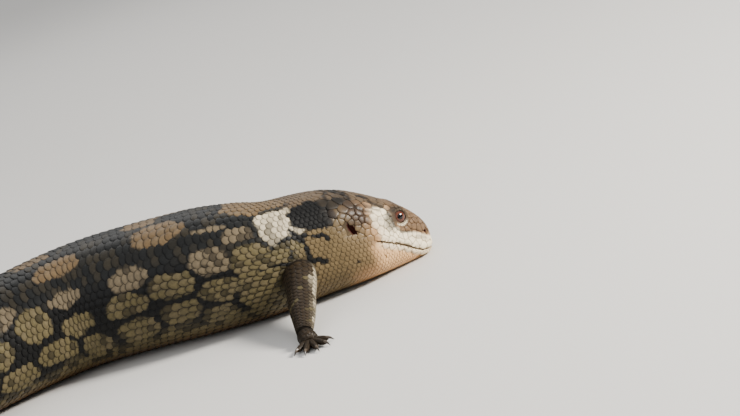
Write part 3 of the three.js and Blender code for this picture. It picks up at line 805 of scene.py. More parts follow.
class Coat:
    """Gathers many plates into one mesh."""

    def __init__(self, pattern):
        self.radius, self.angle, self.level, self.triangles = pattern
        self.parts = []

    def add(self, points, tint, root_uv, local):
        """points (k, n, 3); tint (k, 3) or (k, n, 3); root_uv (k, 2); local (k, n, 2) within -1 to 1."""
        self.parts.append((points, tint, root_uv, local))

    def build(self, name):
        """One mesh of all the plates, with its unwrap, tint and the share out to each plate's rim."""
        points, tint, root_uv, local = [np.concatenate(c) for c in zip(*self.parts)]
        k, n = points.shape[:2]
        points[..., 2] = np.maximum(points[..., 2], 0)
        faces = (self.triangles[None] + (np.arange(k) * n)[:, None, None]).reshape(-1, 3)
        mesh = bpy.data.meshes.new(name)
        mesh.vertices.add(k * n)
        mesh.vertices.foreach_set("co", (points * MM).ravel())
        mesh.loops.add(faces.size)
        mesh.loops.foreach_set("vertex_index", faces.ravel())
        mesh.polygons.add(len(faces))
        mesh.polygons.foreach_set("loop_start", np.arange(0, faces.size, 3))
        mesh.polygons.foreach_set("loop_total", np.full(len(faces), 3))
        mesh.update(calc_edges=True)
        uv = (root_uv[:, None] + local * BAKE_PATCH / 2).reshape(-1, 2)
        layer = mesh.uv_layers.new(name="OFBake")
        layer.data.foreach_set("uv", uv[faces.ravel()].ravel())
        paint(mesh, "tint", tint.reshape(-1, 3) if tint.ndim == 3 else np.repeat(tint, n, 0))
        paint(mesh, "rim", np.tile(self.radius, k))
        obj = bpy.data.objects.new(name, mesh)
        bpy.context.scene.collection.objects.link(obj)
        return obj


def row_places(rows, spread):
    """Shares of the girth where rows lie, and each row's width against the mean; spread 0 is even."""
    g = np.linspace(0, 1, 801)
    width = 1 + (np.interp(fold(g), *zip(*ROW_WIDTHS)) - 1) * spread
    count = np.concatenate([[0], np.cumsum((1 / width[1:] + 1 / width[:-1]) / 2)])
    count = count / count[-1]
    at = np.interp((np.arange(rows) + 0.5) / rows, count, g)
    wide = np.interp(at, g, width) / (1 / np.mean(1 / width))
    return at, wide


def lattice(hide, start, end, rows, ratio, spread=0.0):
    """Staggered rows of roots: distance along, share around, row width and length to the next."""
    places, widths = row_places(rows, spread)
    u, f, pitch, step = [], [], [], []
    at, k = start, 0
    while at < end:
        width = hide.girth_at(at) / rows
        i = np.arange(rows)
        i = i[(i + k) % 2 == 0]
        u.append(np.full(len(i), at))
        f.append(places[i])
        pitch.append(width * widths[i])
        step.append(np.full(len(i), width * ratio))
        at += width * ratio / 2
        k += 1
    return [np.concatenate(c) for c in (u, f, pitch, step)]


def overlap_plates(coat, hide, roots, marks, whim, root_uv, depth, rng,
                   narrow=0.0, rim_dark=0.35, bleed=0.0):
    """Lays overlapping scales: sunk in front, raised behind, gently domed across.

    marks gives the colour at a place; bleed is how far each scale shows the marks under its own points;
    narrow and rim_dark open dark gaps between scales."""
    u, f, pitch, step = roots
    radius, angle, level = coat.radius[None], coat.angle[None], coat.level[None]
    jitter = 1 + 0.05 * rng.standard_normal((2, len(u), 1))
    half_long = step[:, None] * SCALE_LENGTH * jitter[0]
    half_wide = (pitch * (SCALE_WIDTH - 0.15 * narrow))[:, None] * jitter[1]
    c, s = np.cos(angle), np.sin(angle)
    x = radius * np.sign(c) * np.abs(c) ** 0.86
    y = radius * np.sign(s) * np.abs(s) ** 0.92
    skew = 0.06 * rng.standard_normal((len(u), 1)) * pitch[:, None]
    du, df = x * half_long, (y * half_wide + skew * x) / hide.girth_at(u)[:, None]
    place, normal = hide.at(u[:, None] + du, f[:, None] + df)
    rise = (x + 1) / 2
    edge = smoothstep(radius, 0.84, 1.0)
    top = -depth * (1 - 0.97 * rise) - depth * 0.22 * y**2 - depth * 0.2 * edge
    bottom = np.minimum(top - depth * 0.4, -depth * 0.6)
    height = np.where(level > 0.5, top, np.where(radius < 0.5, -depth * 1.5, bottom))
    local = np.broadcast_to(np.stack([x, y], -1), place.shape[:2] + (2,))
    sides = smoothstep(radius, 0.7, 0.93) * smoothstep(np.abs(y), 0.18, 0.5)
    tint = marks(u[:, None] + bleed * du, f[:, None] + bleed * df, place[..., 2], whim[:, None])
    tint = tint * (1 - np.asarray(rim_dark).reshape(-1, 1, 1) * sides[..., None])
    coat.add(place + normal * height[..., None], tint, root_uv, local)


def inside_limbs(points, names, margin):
    """True where points lie inside a limb."""
    out = np.zeros(len(points), bool)
    for name in names:
        hide = LIMB_HIDES[name]
        centre = hide.points.mean(1)
        reach = np.linalg.norm(hide.points - centre[:, None], axis=-1).min(1)
        d = np.linalg.norm(points[:, None] - centre[None], axis=-1)
        k = d.argmin(1)
        out |= d[np.arange(len(points)), k] < reach[k] - margin
    return out


def inside_body(points, margin):
    """True where points lie more than margin inside the body."""
    tree = surface_tree(BODY)
    out = []
    for p in points:
        hit, normal, _, _ = tree.find_nearest(Vector(p))
        out.append((Vector(p) - hit).dot(normal) < -margin)
    return np.array(out)


# Search trees and finish groups that are made once and used again
made_once = {}


def point_tree(points):
    """Search tree over points."""
    tree = KDTree(len(points))
    for i, p in enumerate(points):
        tree.insert(p, i)
    tree.balance()
    return tree


def surface_tree(hide):
    """Search tree over a surface's faces."""
    if id(hide) not in made_once:
        quads = ring_quads(*hide.points.shape[:2])
        flat = hide.points.reshape(-1, 3)
        a, b, c = flat[quads[:, 0]], flat[quads[:, 1]], flat[quads[:, 2]]
        facing = (np.cross(b - a, c - a) * hide.normals.reshape(-1, 3)[quads[:, 0]]).sum()
        quads = quads if facing > 0 else quads[:, ::-1]
        made_once[id(hide)] = BVHTree.FromPolygons(flat.tolist(), quads.tolist())
    return made_once[id(hide)]


def body_uv(s, f):
    """Unwrap of the body: snout to tail across, girth up, in the lower part of the map."""
    return np.stack([0.01 + 0.98 * s / TAIL_END, 0.01 + 0.7 * np.mod(f, 1)], -1)


def limb_uv(name, part, u, f):
    """Unwrap of the limbs and digits, in the upper part of the map."""
    column = list(LIMBS).index(name) * 0.25
    low, high = (0.73, 0.86) if part == "limb" else (0.87, 0.985)
    return np.stack([column + 0.004 + 0.24 * u, low + (high - low) * np.mod(f, 1)], -1)


# Places on the hides
def nearest_places(points):
    """Nearest each point of the body: distance behind the snout, share of the girth, place and normal."""
    tree, m = surface_tree(BODY), BODY.points.shape[1]
    s, f, hits, normals = [], [], [], []
    for p in points:
        hit, normal, face, _ = tree.find_nearest(Vector(p))
        i, j = divmod(face, m)
        s.append(BODY.along[i])
        f.append((j + 0.5) / m)
        hits.append(hit[:])
        normals.append(normal[:])
    return np.array(s), np.array(f), np.array(hits), np.array(normals)


def head_place(s, sign, side=None, up=None):
    """A point of the head's surface from its distance behind the snout and its sideways or upward place."""
    angle = np.linspace(0, np.pi / 2 if side is not None else np.pi, 400)
    ring = body_section(np.full(400, float(s)), angle)
    if side is not None:
        p = ring[np.searchsorted(ring[:, 1], min(side, ring[-1, 1] - 0.01))]
    else:
        p = ring[min(np.searchsorted(-ring[:, 2], -up), 399)]
    return on_spine(p * [1, sign, 1]) + OFFSET


# Shields of the head, right side: (behind the snout, sideways) on the crown
CROWN = (
    (5.6, 0), (10, 2.7), (15.6, 0), (21, 2.3), (25.4, 0), (26.2, 6.4), (4, 3.4), (2.6, 1.4),
    (9.6, 6.6), (12.4, 6.3), (15.6, 7), (18.8, 7.8), (22, 9.4), (31.4, 3.4), (31.6, 10), (36.6, 2.6),
    (36.8, 8.2), (22.6, 13), (26.4, 13.2), (30, 15.4), (42, 2.8), (42.2, 8.6), (47.4, 3), (47.8, 9),
    (34.4, 14.6), (41.4, 14.4),
)
# and (behind the snout, up) on its side
FLANK = (
    (5.6, 14.6), (8, 16.6), (6.4, 18.8), (3.2, 13.8), (1.6, 8.4), (9.2, 13.4), (0.6, 6), (4.6, 9.8),
)
LABIAL_STEP = 3.6


def hand_seeds():
    """Roots of the head's named shields, mirrored left to right, and the lips' rows."""
    out = []
    for sign in (1, -1):
        out += [head_place(s, sign, side=side) for s, side in CROWN if side > 0 or sign > 0]
        out += [head_place(s, sign, up=up) for s, up in FLANK]
        for s in np.arange(3, 30, LABIAL_STEP):
            out.append(head_place(s, sign, up=float(mouth_line(s)) + 2.1))
            out.append(head_place(s + 1.4, sign, up=float(mouth_line(s + 1.4)) - 2.1))
    return np.array(out)


def filler_spacing(s, g, up):
    """Wanted distance between the small scales of the head, in millimetres."""
    lip = up - mouth_line(s)
    size = np.full(s.shape, 3.1)
    size = np.where((s < 30) & (lip > 0), 2.7, size)
    size = np.where((s > 19) & (g < 0.2), 3.6, size)
    size = np.where((s > 30) & (g < 0.14), 4.6, size)
    size = np.where((g > 0.33) | (lip < -3.5), 2.8, size)
    size = np.where((g > 0.4) & (s > 14), 3.3, size)
    ear = np.hypot(s - EAR[0], up - EAR[2])
    size = np.where(ear < 8, 2.2, size)
    eye = np.hypot(s - EYE[0], up - EYE[2])
    return np.where((eye < 7.5) & (g < 0.3), 1.9, size)


# Head plates: where they end, tries to throw a small scale, the room a named shield takes, the closest
# that two may lie against the wanted distance, and the rounds and strength of the pushing apart
SHIELD_END = 50
TRIES = 60000
NAMED_ROOM = 2.6
CLOSEST = 0.93
PUSH = {"rounds": 12, "neighbours": 8, "reach": 1.12, "strength": 0.22}


def head_seeds():
    """All the roots of the head's plates: named shields first, then small scales thrown between them."""
    rng = np.random.default_rng(SEED)
    u = SNOUT_START + (SHIELD_END + 6) * rng.random(TRIES)
    f = rng.random(TRIES)
    keep = rng.random(TRIES) < BODY.girth_at(u) / BODY.girth.max()
    u, f = u[keep], f[keep]
    points, _ = BODY.at(u, f)
    clear = (np.abs(points[:, 2] - mouth_line(u)) > 3.2) | (u > 30.5)
    u, f, points = u[clear], f[clear], points[clear]
    size = filler_spacing(u, fold(f), points[:, 2])
    named = hand_seeds()
    count = fixed = len(named)
    seeds, spaces = np.zeros((count + len(points), 3)), np.zeros(count + len(points))
    seeds[:count], spaces[:count] = named, NAMED_ROOM
    for p, gap in zip(points, size):
        d = np.linalg.norm(seeds[:count] - p, axis=1)
        if (d > (gap + spaces[:count]) / 2 * CLOSEST).all():
            seeds[count], spaces[count] = p, gap
            count += 1
    seeds, spaces = seeds[:count], spaces[:count]
    tree = surface_tree(BODY)
    for _ in range(PUSH["rounds"]):
        kd = point_tree(seeds)
        moved = seeds.copy()
        for i in range(fixed, count):
            push = np.zeros(3)
            for co, j, d in kd.find_n(seeds[i], PUSH["neighbours"]):
                want = (spaces[i] + spaces[j]) / 2 * PUSH["reach"]
                if j != i and d < want:
                    push += (seeds[i] - np.array(co)) / max(d, 0.1) * (want - d)
            moved[i] = tree.find_nearest(Vector(seeds[i] + PUSH["strength"] * push))[0]
        seeds = moved
    return seeds, fixed


def shield_plates(coat, rng):
    """Lays each head plate out to the borders it shares with its neighbours."""
    seeds, fixed = head_seeds()
    s, f, _, _ = nearest_places(seeds)
    _, normals = BODY.at(s, f)
    _, tailward, _ = spine_frame(s)
    back = np.hstack([tailward, np.zeros((len(s), 1))])
    first = unit(back - normals * (back * normals).sum(1, keepdims=True))
    second = np.cross(normals, first)
    tree = point_tree(seeds)
    near = np.array([[j for _, j, _ in tree.find_n(p, 15)][1:] for p in seeds])
    d = seeds[near] - seeds[:, None]
    x, y = (d * first[:, None]).sum(-1), (d * second[:, None]).sum(-1)
    far, flat = np.linalg.norm(d, axis=-1), np.maximum(np.hypot(x, y), 1e-6)
    sides = np.unique(np.round(coat.angle[(coat.radius > 0.99)], 5))
    ways = np.stack([np.cos(sides), np.sin(sides)], 0)
    facing = (x / flat)[..., None] * ways[0] + (y / flat)[..., None] * ways[1]
    up = seeds[:, 2] - mouth_line(s)
    lips = (up[:, None] * up[near] < 0) & (np.maximum(s[:, None], s[near]) < 31)
    gap = np.where(lips & (np.abs(up[:, None]) < 3.4), -3, 0.05)
    reach = np.where(facing > 0.12, (far / 2 - gap)[..., None] / np.maximum(facing, 0.12), 60)
    outline = (np.maximum(reach, 0.2) ** -12).sum(1) ** (-1 / 12)
    outline = np.minimum(outline, np.where(np.arange(len(s)) < fixed, 6, 2.8)[:, None])
    overlapped = on_throat(s - 1, fold(f), seeds[:, 2]) & (s > 10)
    keep = (s < SHIELD_END) & ~in_openings(seeds) & ~overlapped
    laps = smoothstep(s, 27, 38)[:, None] * (1 + 0 * sides)
    laps = laps + (1 - laps) * 0.25 * smoothstep(s, 16, 26)[:, None]
    outline = outline * (1 + 0.26 * laps * np.maximum(np.cos(sides), 0))
    index = np.abs(np.angle(np.exp(1j * (coat.angle[:, None] - sides[None])))).argmin(1)
    for group in np.array_split(np.flatnonzero(keep), 12):
        r = outline[group][:, index] * coat.radius
        px, py = r * np.cos(coat.angle), r * np.sin(coat.angle)
        level_points = seeds[group, None] + first[group, None] * px[..., None]
        level_points = level_points + second[group, None] * py[..., None]
        _, _, hits, ways_out = nearest_places(level_points.reshape(-1, 3))
        hits, ways_out = hits.reshape(level_points.shape), ways_out.reshape(level_points.shape)
        line = mouth_line(np.clip(s[group][:, None] + px, 0, 31))
        off_line = np.abs(up[group])
        lipped = ((off_line < 3.6) & (s[group] < 30.5) & (off_line > 0.3))[:, None]
        above, below = np.maximum(hits[..., 2], line + 0.35), np.minimum(hits[..., 2], line - 0.5)
        over = np.where(up[group][:, None] > 0, above, below)
        moved = np.argwhere(lipped & (over != hits[..., 2]))
        if len(moved):
            a, b = moved.T
            hits[a, b, 2] = over[a, b]
            _, _, settled, _ = nearest_places(hits[a, b])
            settled[:, 2] = over[a, b]
            hits[a, b] = settled
        size = outline[group].mean(1)[:, None]
        rear = px / size
        lap = laps[group][:, :1]
        edge = smoothstep(coat.radius, 0.8, 1.0)
        sunk = SKIN_HEAD * lap * 0.42 * (1 - np.clip(rear, -1, 1))
        top = -0.05 - SKIN_HEAD * (0.38 - 0.15 * lap) * edge - sunk
        bottom = np.minimum(top - 0.1, -SKIN_HEAD * 1.1)
        creased = crease_depth(np.maximum(s[group][:, None] + px * 0.9, 0.1), hits[..., 2])
        height = np.where(coat.level > 0.5, top - 0.3 * creased, bottom - 0.1 * creased)
        whim = np.clip(rng.standard_normal(len(group)) * 0.5, -1, 1)
        own_s, own_f, own_whim = (np.repeat(c, coat.radius.size) for c in (s[group], f[group], whim))
        own_s = np.maximum(own_s + px.ravel() * 0.7, 0.1)
        tint = skin_marks(own_s, own_f, hits[..., 2].ravel(), own_whim).reshape(hits.shape)
        local = np.stack([px / 7, py / 7], -1).clip(-1, 1)
        coat.add(hits + ways_out * height[..., None], tint, body_uv(s[group], f[group]), local)


def in_openings(points):
    """True for points in the eye's lids, the ear or the nostril."""
    out = np.zeros(len(points), bool)
    for sign in (1, -1):
        axis = eye_axis(sign)
        d = points - head_point(EYE, sign)
        off = d - axis * (d @ axis)[:, None]
        out |= (np.linalg.norm(off, axis=1) < LID_REACH) & (d @ axis > 0)
        for place, size, lean, margin in OPENINGS:
            local = (points - head_point(place, sign)) @ opening_axes(place, sign, lean)
            out |= ((local / (np.array(size) + margin)) ** 2).sum(1) < 1
    return out


def opening_axes(place, sign, lean):
    """Columns: across the opening, into it, and up it."""
    _, tailward, right = spine_frame(np.array(place[0]))
    back, side = np.append(tailward, 0), np.append(right * sign, 0)
    across = back * math.cos(lean) - np.array([0, 0, 1]) * math.sin(lean)
    return np.stack([across, side, np.cross(across, side) * sign], 1)


def lid_surface(sign):
    """The lid margin as a surface: along it runs round the eye, and its girth round the margin."""
    turns = np.arange(-20, 181) / 160
    w = turns * 2 * np.pi
    t = np.arange(48) / 48 * 2 * np.pi
    points = lid_points(sign, *np.meshgrid(w, t, indexing="ij"))
    return Hide(turns, points)


def lid_points(sign, w, t):
    """Points of the lid margin at turns w round the eye and t round the margin."""
    axes, centre = eye_frame(sign), head_point(EYE, sign)
    thick = LID["thick"] * LID["fit"]
    reach = np.stack([np.cos(w) * (LID_OPENING[0] + thick), np.sin(w) * (LID_OPENING[1] + thick)], -1)
    reach[..., 1] -= 0.7 * np.clip(np.sin(w), 0, 1) ** 2
    length = np.linalg.norm(reach, axis=-1, keepdims=True)
    grown = reach * (1 + np.cos(t)[..., None] * thick / length)
    proud = LID["proud"] - 0.45 + 0.75 * np.cos(w) - 0.25 * np.sin(w)
    local = np.concatenate([grown, (proud + np.sin(t) * thick)[..., None]], -1)
    return centre + local @ axes.T


# Rows of beads on a lid: share of its girth from outside, how many, half length, half width, height
LID_ROWS = ((0.335, 30, 0.36, 0.34, 0.1), (0.22, 26, 0.46, 0.5, 0.14), (0.1, 26, 0.54, 0.6, 0.16),
            (0.985, 24, 0.62, 0.6, 0.16))


def lid_beads(coat, sign, rng):
    """Rows of small bead-like scales round each eye, white below and tan above."""
    hide = lid_surface(sign)
    radius, angle, level = coat.radius[None], coat.angle[None], coat.level[None]
    for row, (girth, count, half_long, half_wide, height) in enumerate(LID_ROWS):
        turn = (np.arange(count) + 0.5 * (row % 2)) / count
        ring = 2 * np.pi * (LID_OPENING[0] + LID["thick"] * (1 + math.cos(girth * 2 * np.pi)))
        around = 2 * np.pi * LID["thick"] * LID["fit"]
        x, y = radius * np.cos(angle), radius * np.sin(angle)
        du, df = x * half_long / ring, y * half_wide / around
        place, normal = hide.at(turn[:, None] + du, girth + df + 0 * du)
        top = height * (1 - radius**2) - 0.05
        lift = np.where(level > 0.5, top, -0.2)
        upward = smoothstep(np.sin(turn * 2 * np.pi - 0.67), -0.45, 0.15)[:, None]
        whim = np.clip(rng.standard_normal(count) * 0.5, -1, 1)
        tint = colour_of("cream") * (1 - upward) + colour_of("tan") * 0.44 * upward
        tint = tint * (1 + 0.15 * whim[:, None]) * (0.45 if row == 0 else 1)
        root = body_uv(EYE[0] + 5 * np.cos(turn * 2 * np.pi), 0.17 + 0.05 * np.sin(turn * 2 * np.pi))
        if sign < 0:
            root[:, 1] = 0.72 - root[:, 1]
        local = np.broadcast_to(np.stack([x, y], -1), place.shape[:2] + (2,))
        coat.add(place + normal * lift[..., None], tint, root, local)


# Skin: how far it lies inside the outline on each part, and how much wider limbs leave the body
SKIN_HEAD, SKIN_BODY, SKIN_LIMB, SKIN_TOE = 0.5, 0.85, 0.55, 0.25
SHOULDER_FLARE = 0.12


def skin_rings():
    """The body's rings, set inwards by the coat's depth."""
    along = np.concatenate([
        SNOUT_START + 0.1 + (HEAD_END - SNOUT_START) * np.linspace(0, 1, 104, endpoint=False) ** 1.15,
        np.arange(HEAD_END + 0.6, TAIL_END - 1.5, 2.2), [TAIL_END - 1.2],
    ])
    f = np.arange(240) / 240
    u, v = np.meshgrid(along, f, indexing="ij")
    points, normals = BODY.at(u, v)
    depth = SKIN_HEAD + (SKIN_BODY - SKIN_HEAD) * smoothstep(u, 38, 60)
    depth = depth * (1 - 0.65 * smoothstep(u, 340, TAIL_END))
    groove = np.exp(-((points[..., 2] - mouth_line(u) + 0.1) / 0.6) ** 2) * (1 - smoothstep(u, 29, 31))
    depth = depth + 1.2 * groove * smoothstep(fold(v) * BODY.girth_at(u), 0.5, 2)
    points = points - normals * depth[..., None]
    points[..., 2] = np.maximum(points[..., 2], 0.02)
    return points


def limb_rings(hide, depth, flare=0):
    """A limb's rings, set inwards, and widened where it leaves the body."""
    points = hide.points - hide.normals * depth
    if flare:
        centre = hide.points.mean(1, keepdims=True)
        grow = 1 + flare * np.exp(-(hide.along / 7) ** 2)[:, None, None]
        points = centre + (points - centre) * grow
    points[..., 2] = np.maximum(points[..., 2], 0.02)
    return points


def eye_frame(sign):
    """Columns: tailward, upward and outward at the eye."""
    out = eye_axis(sign)
    back = head_axes(sign)[:, 0]
    along = unit(back - out * (back @ out))
    up = np.cross(out, along)
    return np.stack([along, up if up[2] > 0 else -up, out], 1)


def lid_ring(sign, count=44, around=14):
    """Rounded lid margin: a closed ring lying on the eyeball around its opening."""
    w = np.arange(count) / count * 2 * np.pi
    t = np.arange(around) / around * 2 * np.pi
    points = lid_points(sign, *np.meshgrid(w, t, indexing="ij"))
    faces = []
    for i in range(count):
        for j in range(around):
            a, b = (i + 1) % count, (j + 1) % around
            faces.append((i * around + j, a * around + j, a * around + b, i * around + b))
    obj = mesh_object("lid", points.reshape(-1, 3), faces)
    turn_outward(obj)
    return obj


FLESH = (
    "head", "neck", "torso_front", "torso_middle", "torso_rear", "tail_base", "tail_middle", "tail_tip",
    "upper_arm_right", "forearm_right", "hand_right", "upper_arm_left", "forearm_left", "hand_left",
    "thigh_right", "shin_right", "foot_right", "thigh_left", "shin_left", "foot_left",
)


def all_hides():
    """Every surface with its name, part and number."""
    yield BODY, "body", "body", 0
    for name in LIMBS:
        yield LIMB_HIDES[name], name, "limb", 0
        for i, (part, hide, _, _) in enumerate(FOOT_RODS[name]):
            if hide is not None:
                yield hide, name, part, i


def marks_at(owner, part, u, f, z, rough):
    """Colour at a place of any surface."""
    if part == "body":
        return skin_marks(u, f, z, rough)
    if part == "limb":
        return limb_marks(owner, u, f, rough)
    return varied(colour_of("limb"), 0.25, rough) + 0 * u[..., None]


def uv_at(owner, part, number, u, f, hide):
    """Place on the unwrap of any surface."""
    if part == "body":
        return body_uv(u, f)
    if part == "limb":
        return limb_uv(owner, "limb", u / hide.along[-1], f)
    return limb_uv(owner, "digit", (number + u / hide.along[-1]) / 12, f)


def dress_skin(obj):
    """Gives each point of the skin the marks and the unwrap of the surface nearest to it."""
    co = np.empty(len(obj.data.vertices) * 3)
    obj.data.vertices.foreach_get("co", co)
    co = co.reshape(-1, 3) / MM
    best = np.full(len(co), 1e9)
    tint, uv, seam = np.zeros((len(co), 3)), np.zeros((len(co), 2)), np.zeros(len(co))
    for hide, owner, part, number in all_hides():
        points = hide.points.reshape(-1, 3)
        low, high = points.min(0) - 4, points.max(0) + 4
        inside = np.flatnonzero(((co > low) & (co < high)).all(1))
        if not len(inside):
            continue
        tree = point_tree(points)
        found = [tree.find(Vector(co[i])) for i in inside]
        index, distance = np.array([r[1] for r in found]), np.array([r[2] for r in found])
        m = hide.points.shape[1]
        u, f = hide.along[index // m], (index % m) / m
        use = distance < best[inside]
        colours = marks_at(owner, part, u, f, co[inside, 2], np.zeros(len(inside)))
        places = uv_at(owner, part, number, u, f, hide)
        at = inside[use]
        best[at], tint[at], uv[at] = distance[use], colours[use], places[use]
        seam[at] = f[use]
    hollow = np.zeros(len(co), bool)
    for sign in (1, -1):
        for place, size, lean, _ in OPENINGS:
            local = (co - head_point(place, sign)) @ opening_axes(place, sign, lean)
            hollow |= ((local / (np.array(size) * 1.08 + 0.05)) ** 2).sum(1) < 1
    s = nearest_s(co)
    # Painted shade: the skin is darkened to 0.3 of the marks' colour on the body and 0.75 on the head, where
    # it shows in the shaded gaps between scales.
    share = 0.3 + 0.45 * (1 - smoothstep(s, 34, 48))
    tint = tint * share[:, None]
    # The ear and nostril openings get a dark red-brown: partly their inner colour, partly painted shade
    # inside them.
    tint[hollow] = colour_of("hollow")
    # Painted shade: the skin in the groove along the mouth is darkened.
    groove = (np.abs(co[:, 2] - mouth_line(np.clip(s, 0, 30))) < 0.5) & (s < 30) & (seam > 0.02)
    tint[groove] *= 0.4
    paint(obj.data, "tint", np.clip(tint, 0, 1))
    paint(obj.data, "rim", np.full(len(co), 0.5))
    layer = obj.data.uv_layers.new(name="OFBake")
    loops = np.empty(len(obj.data.loops), int)
    obj.data.loops.foreach_get("vertex_index", loops)
    at = uv[loops].copy()
    starts = np.array([p.loop_start for p in obj.data.polygons])
    totals = np.array([p.loop_total for p in obj.data.polygons])
    faces = np.repeat(np.arange(len(starts)), totals)
    turn = seam[loops]
    high, low = np.maximum.reduceat(turn, starts)[faces], np.minimum.reduceat(turn, starts)[faces]
    at[:, 1] += np.where((high - low > 0.5) & (turn < 0.5) & (at[:, 1] < 0.72), 0.7, 0)
    layer.data.foreach_set("uv", at.ravel())


def nearest_s(points):
    """Roughly how far behind the snout points lie."""
    if "spine" not in made_once:
        made_once["spine"] = point_tree(np.hstack([SPINE_POINTS, np.zeros((len(SPINE_POINTS), 1))]) + OFFSET)
    tree = made_once["spine"]
    return np.array([SPINE_RUN[tree.find((p[0], p[1], 0))[1]] for p in points])


def make_skin():
    """One closed skin over body, limbs, feet and lids, with sockets for the eyes, ears and nostrils."""
    skin = tube("skin", skin_rings())
    joined = []
    for hide, _, part, _ in all_hides():
        if part != "body":
            depth = SKIN_TOE if part == "toe" else SKIN_LIMB
            joined.append(tube(part, limb_rings(hide, depth, SHOULDER_FLARE * (part == "limb"))))
    joined += [lid_ring(sign) for sign in (1, -1)]
    for tool in joined:
        fuse(skin, [tool], "UNION")
    holes = []
    for sign in (1, -1):
        holes.append(ball("eye socket", head_point(EYE, sign), eye_frame(sign), (EYE_RADIUS,) * 3))
        for place, size, lean, _ in OPENINGS:
            axes = opening_axes(place, sign, lean)
            holes.append(ball("hole", head_point(place, sign), axes, size, 24, 16))
    fuse(skin, holes, "DIFFERENCE")
    return skin


# Finishes
def linear(red, green, blue):
    """Linear light from display values out of 255."""
    out = []
    for v in (red, green, blue):
        v /= 255
        out.append(v / 12.92 if v <= 0.04045 else ((v + 0.055) / 1.055) ** 2.4)
    return tuple(out)


def node_group(name, inputs, outputs):
    """An empty shader group with its named inputs and outputs."""
    group = bpy.data.node_groups.new(name, "ShaderNodeTree")
    for label, kind, value in inputs:
        socket = group.interface.new_socket(name=label, in_out="INPUT", socket_type=kind)
        if value is not None:
            socket.default_value = value
    for label, kind in outputs:
        group.interface.new_socket(name=label, in_out="OUTPUT", socket_type=kind)
    return group, group.nodes.new("NodeGroupInput"), group.nodes.new("NodeGroupOutput")


def add_node(tree, kind, settings=None, **inputs):
    """A node with its settings and inputs; an input is a value or another node's output."""
    node = tree.nodes.new(kind)
    for key, value in (settings or {}).items():
        setattr(node, key, value)
    for key, value in inputs.items():
        numbered = key[0] == "i" and key[1:].isdigit()
        socket = node.inputs[int(key[1:]) if numbered else key.replace("_", " ")]
        if isinstance(value, bpy.types.NodeSocket):
            tree.links.new(value, socket)
        else:
            socket.default_value = value
    return node


def maths(tree, operation, a, b=0.0):
    """Output of a Math node."""
    return add_node(tree, "ShaderNodeMath", {"operation": operation}, i0=a, i1=b).outputs[0]


def scale_finish_group():
    """Keratin: mottled colour, darker towards a plate's rim (partly its own dark margin, partly painted
    shade at the edge), fine striations and pits.
    """
    group, enter, leave = node_group(
        "Scale finish",
        (("Vector", "NodeSocketVector", None), ("Tint", "NodeSocketColor", (0.1, 0.08, 0.05, 1)),
         ("Rim", "NodeSocketFloat", 0.0), ("Edge", "NodeSocketFloat", 0.5),
         ("Roughness", "NodeSocketFloat", 0.42)),
        (("Base Color", "NodeSocketColor"), ("Roughness", "NodeSocketFloat"), ("Height", "NodeSocketFloat")),
    )
    place = enter.outputs["Vector"]
    blotch = add_node(group, "ShaderNodeTexNoise", None,
                      Vector=place, Scale=620.0, Detail=4.0, Roughness=0.6)
    fine = add_node(group, "ShaderNodeTexNoise", None,
                    Vector=place, Scale=2600.0, Detail=3.0, Roughness=0.6)
    # Darker towards the rim: partly the scales' own dark margins, partly painted shade where one scale meets
    # the next.
    rim = add_node(group, "ShaderNodeMapRange", None, Value=enter.outputs["Rim"],
                   From_Min=0.82, From_Max=1.0, To_Min=1.0, To_Max=enter.outputs["Edge"]).outputs[0]
    mottle = maths(group, "MULTIPLY_ADD", blotch.outputs[0], 0.7)
    mottle.node.inputs[2].default_value = 0.65
    light = maths(group, "MULTIPLY", mottle, rim)
    scaled = add_node(group, "ShaderNodeVectorMath", {"operation": "SCALE"},
                      i0=enter.outputs["Tint"], Scale=light)
    group.links.new(scaled.outputs[0], leave.inputs["Base Color"])
    rough = maths(group, "MULTIPLY_ADD", fine.outputs[0], 0.18)
    group.links.new(enter.outputs["Roughness"], rough.node.inputs[2])
    group.links.new(rough, leave.inputs["Roughness"])
    height = maths(group, "MULTIPLY_ADD", blotch.outputs[0], 0.6)
    group.links.new(fine.outputs[0], height.node.inputs[2])
    group.links.new(height, leave.inputs["Height"])
    return group


def surface_material(name, group, attributes, bump=0.0, roughness=None, edge=None, **settings):
    """A Principled surface fed by a finish group that reads the piece's own points and attributes."""
    material = bpy.data.materials.new(name)
    material.use_nodes = True
    tree = material.node_tree
    shader = tree.nodes["Principled BSDF"]
    for key, value in settings.items():
        shader.inputs[key.replace("_", " ")].default_value = value
    finish = tree.nodes.new("ShaderNodeGroup")
    finish.node_tree = group
    if "Vector" in finish.inputs:
        place = tree.nodes.new("ShaderNodeTexCoord")
        tree.links.new(place.outputs["Object"], finish.inputs["Vector"])
    if roughness is not None:
        finish.inputs["Roughness"].default_value = roughness
    if edge is not None:
        finish.inputs["Edge"].default_value = edge
    for socket, attribute in attributes:
        reader = tree.nodes.new("ShaderNodeAttribute")
        reader.attribute_name = attribute
        out = reader.outputs["Color" if finish.inputs[socket].type == "RGBA" else "Fac"]
        tree.links.new(out, finish.inputs[socket])
    tree.links.new(finish.outputs["Base Color"], shader.inputs["Base Color"])
    tree.links.new(finish.outputs["Roughness"], shader.inputs["Roughness"])
    if bump and "Height" in finish.outputs:
        node = add_node(tree, "ShaderNodeBump", None, Strength=bump, Distance=0.0002,
                        Height=finish.outputs["Height"])
        tree.links.new(node.outputs["Normal"], shader.inputs["Normal"])
    return material


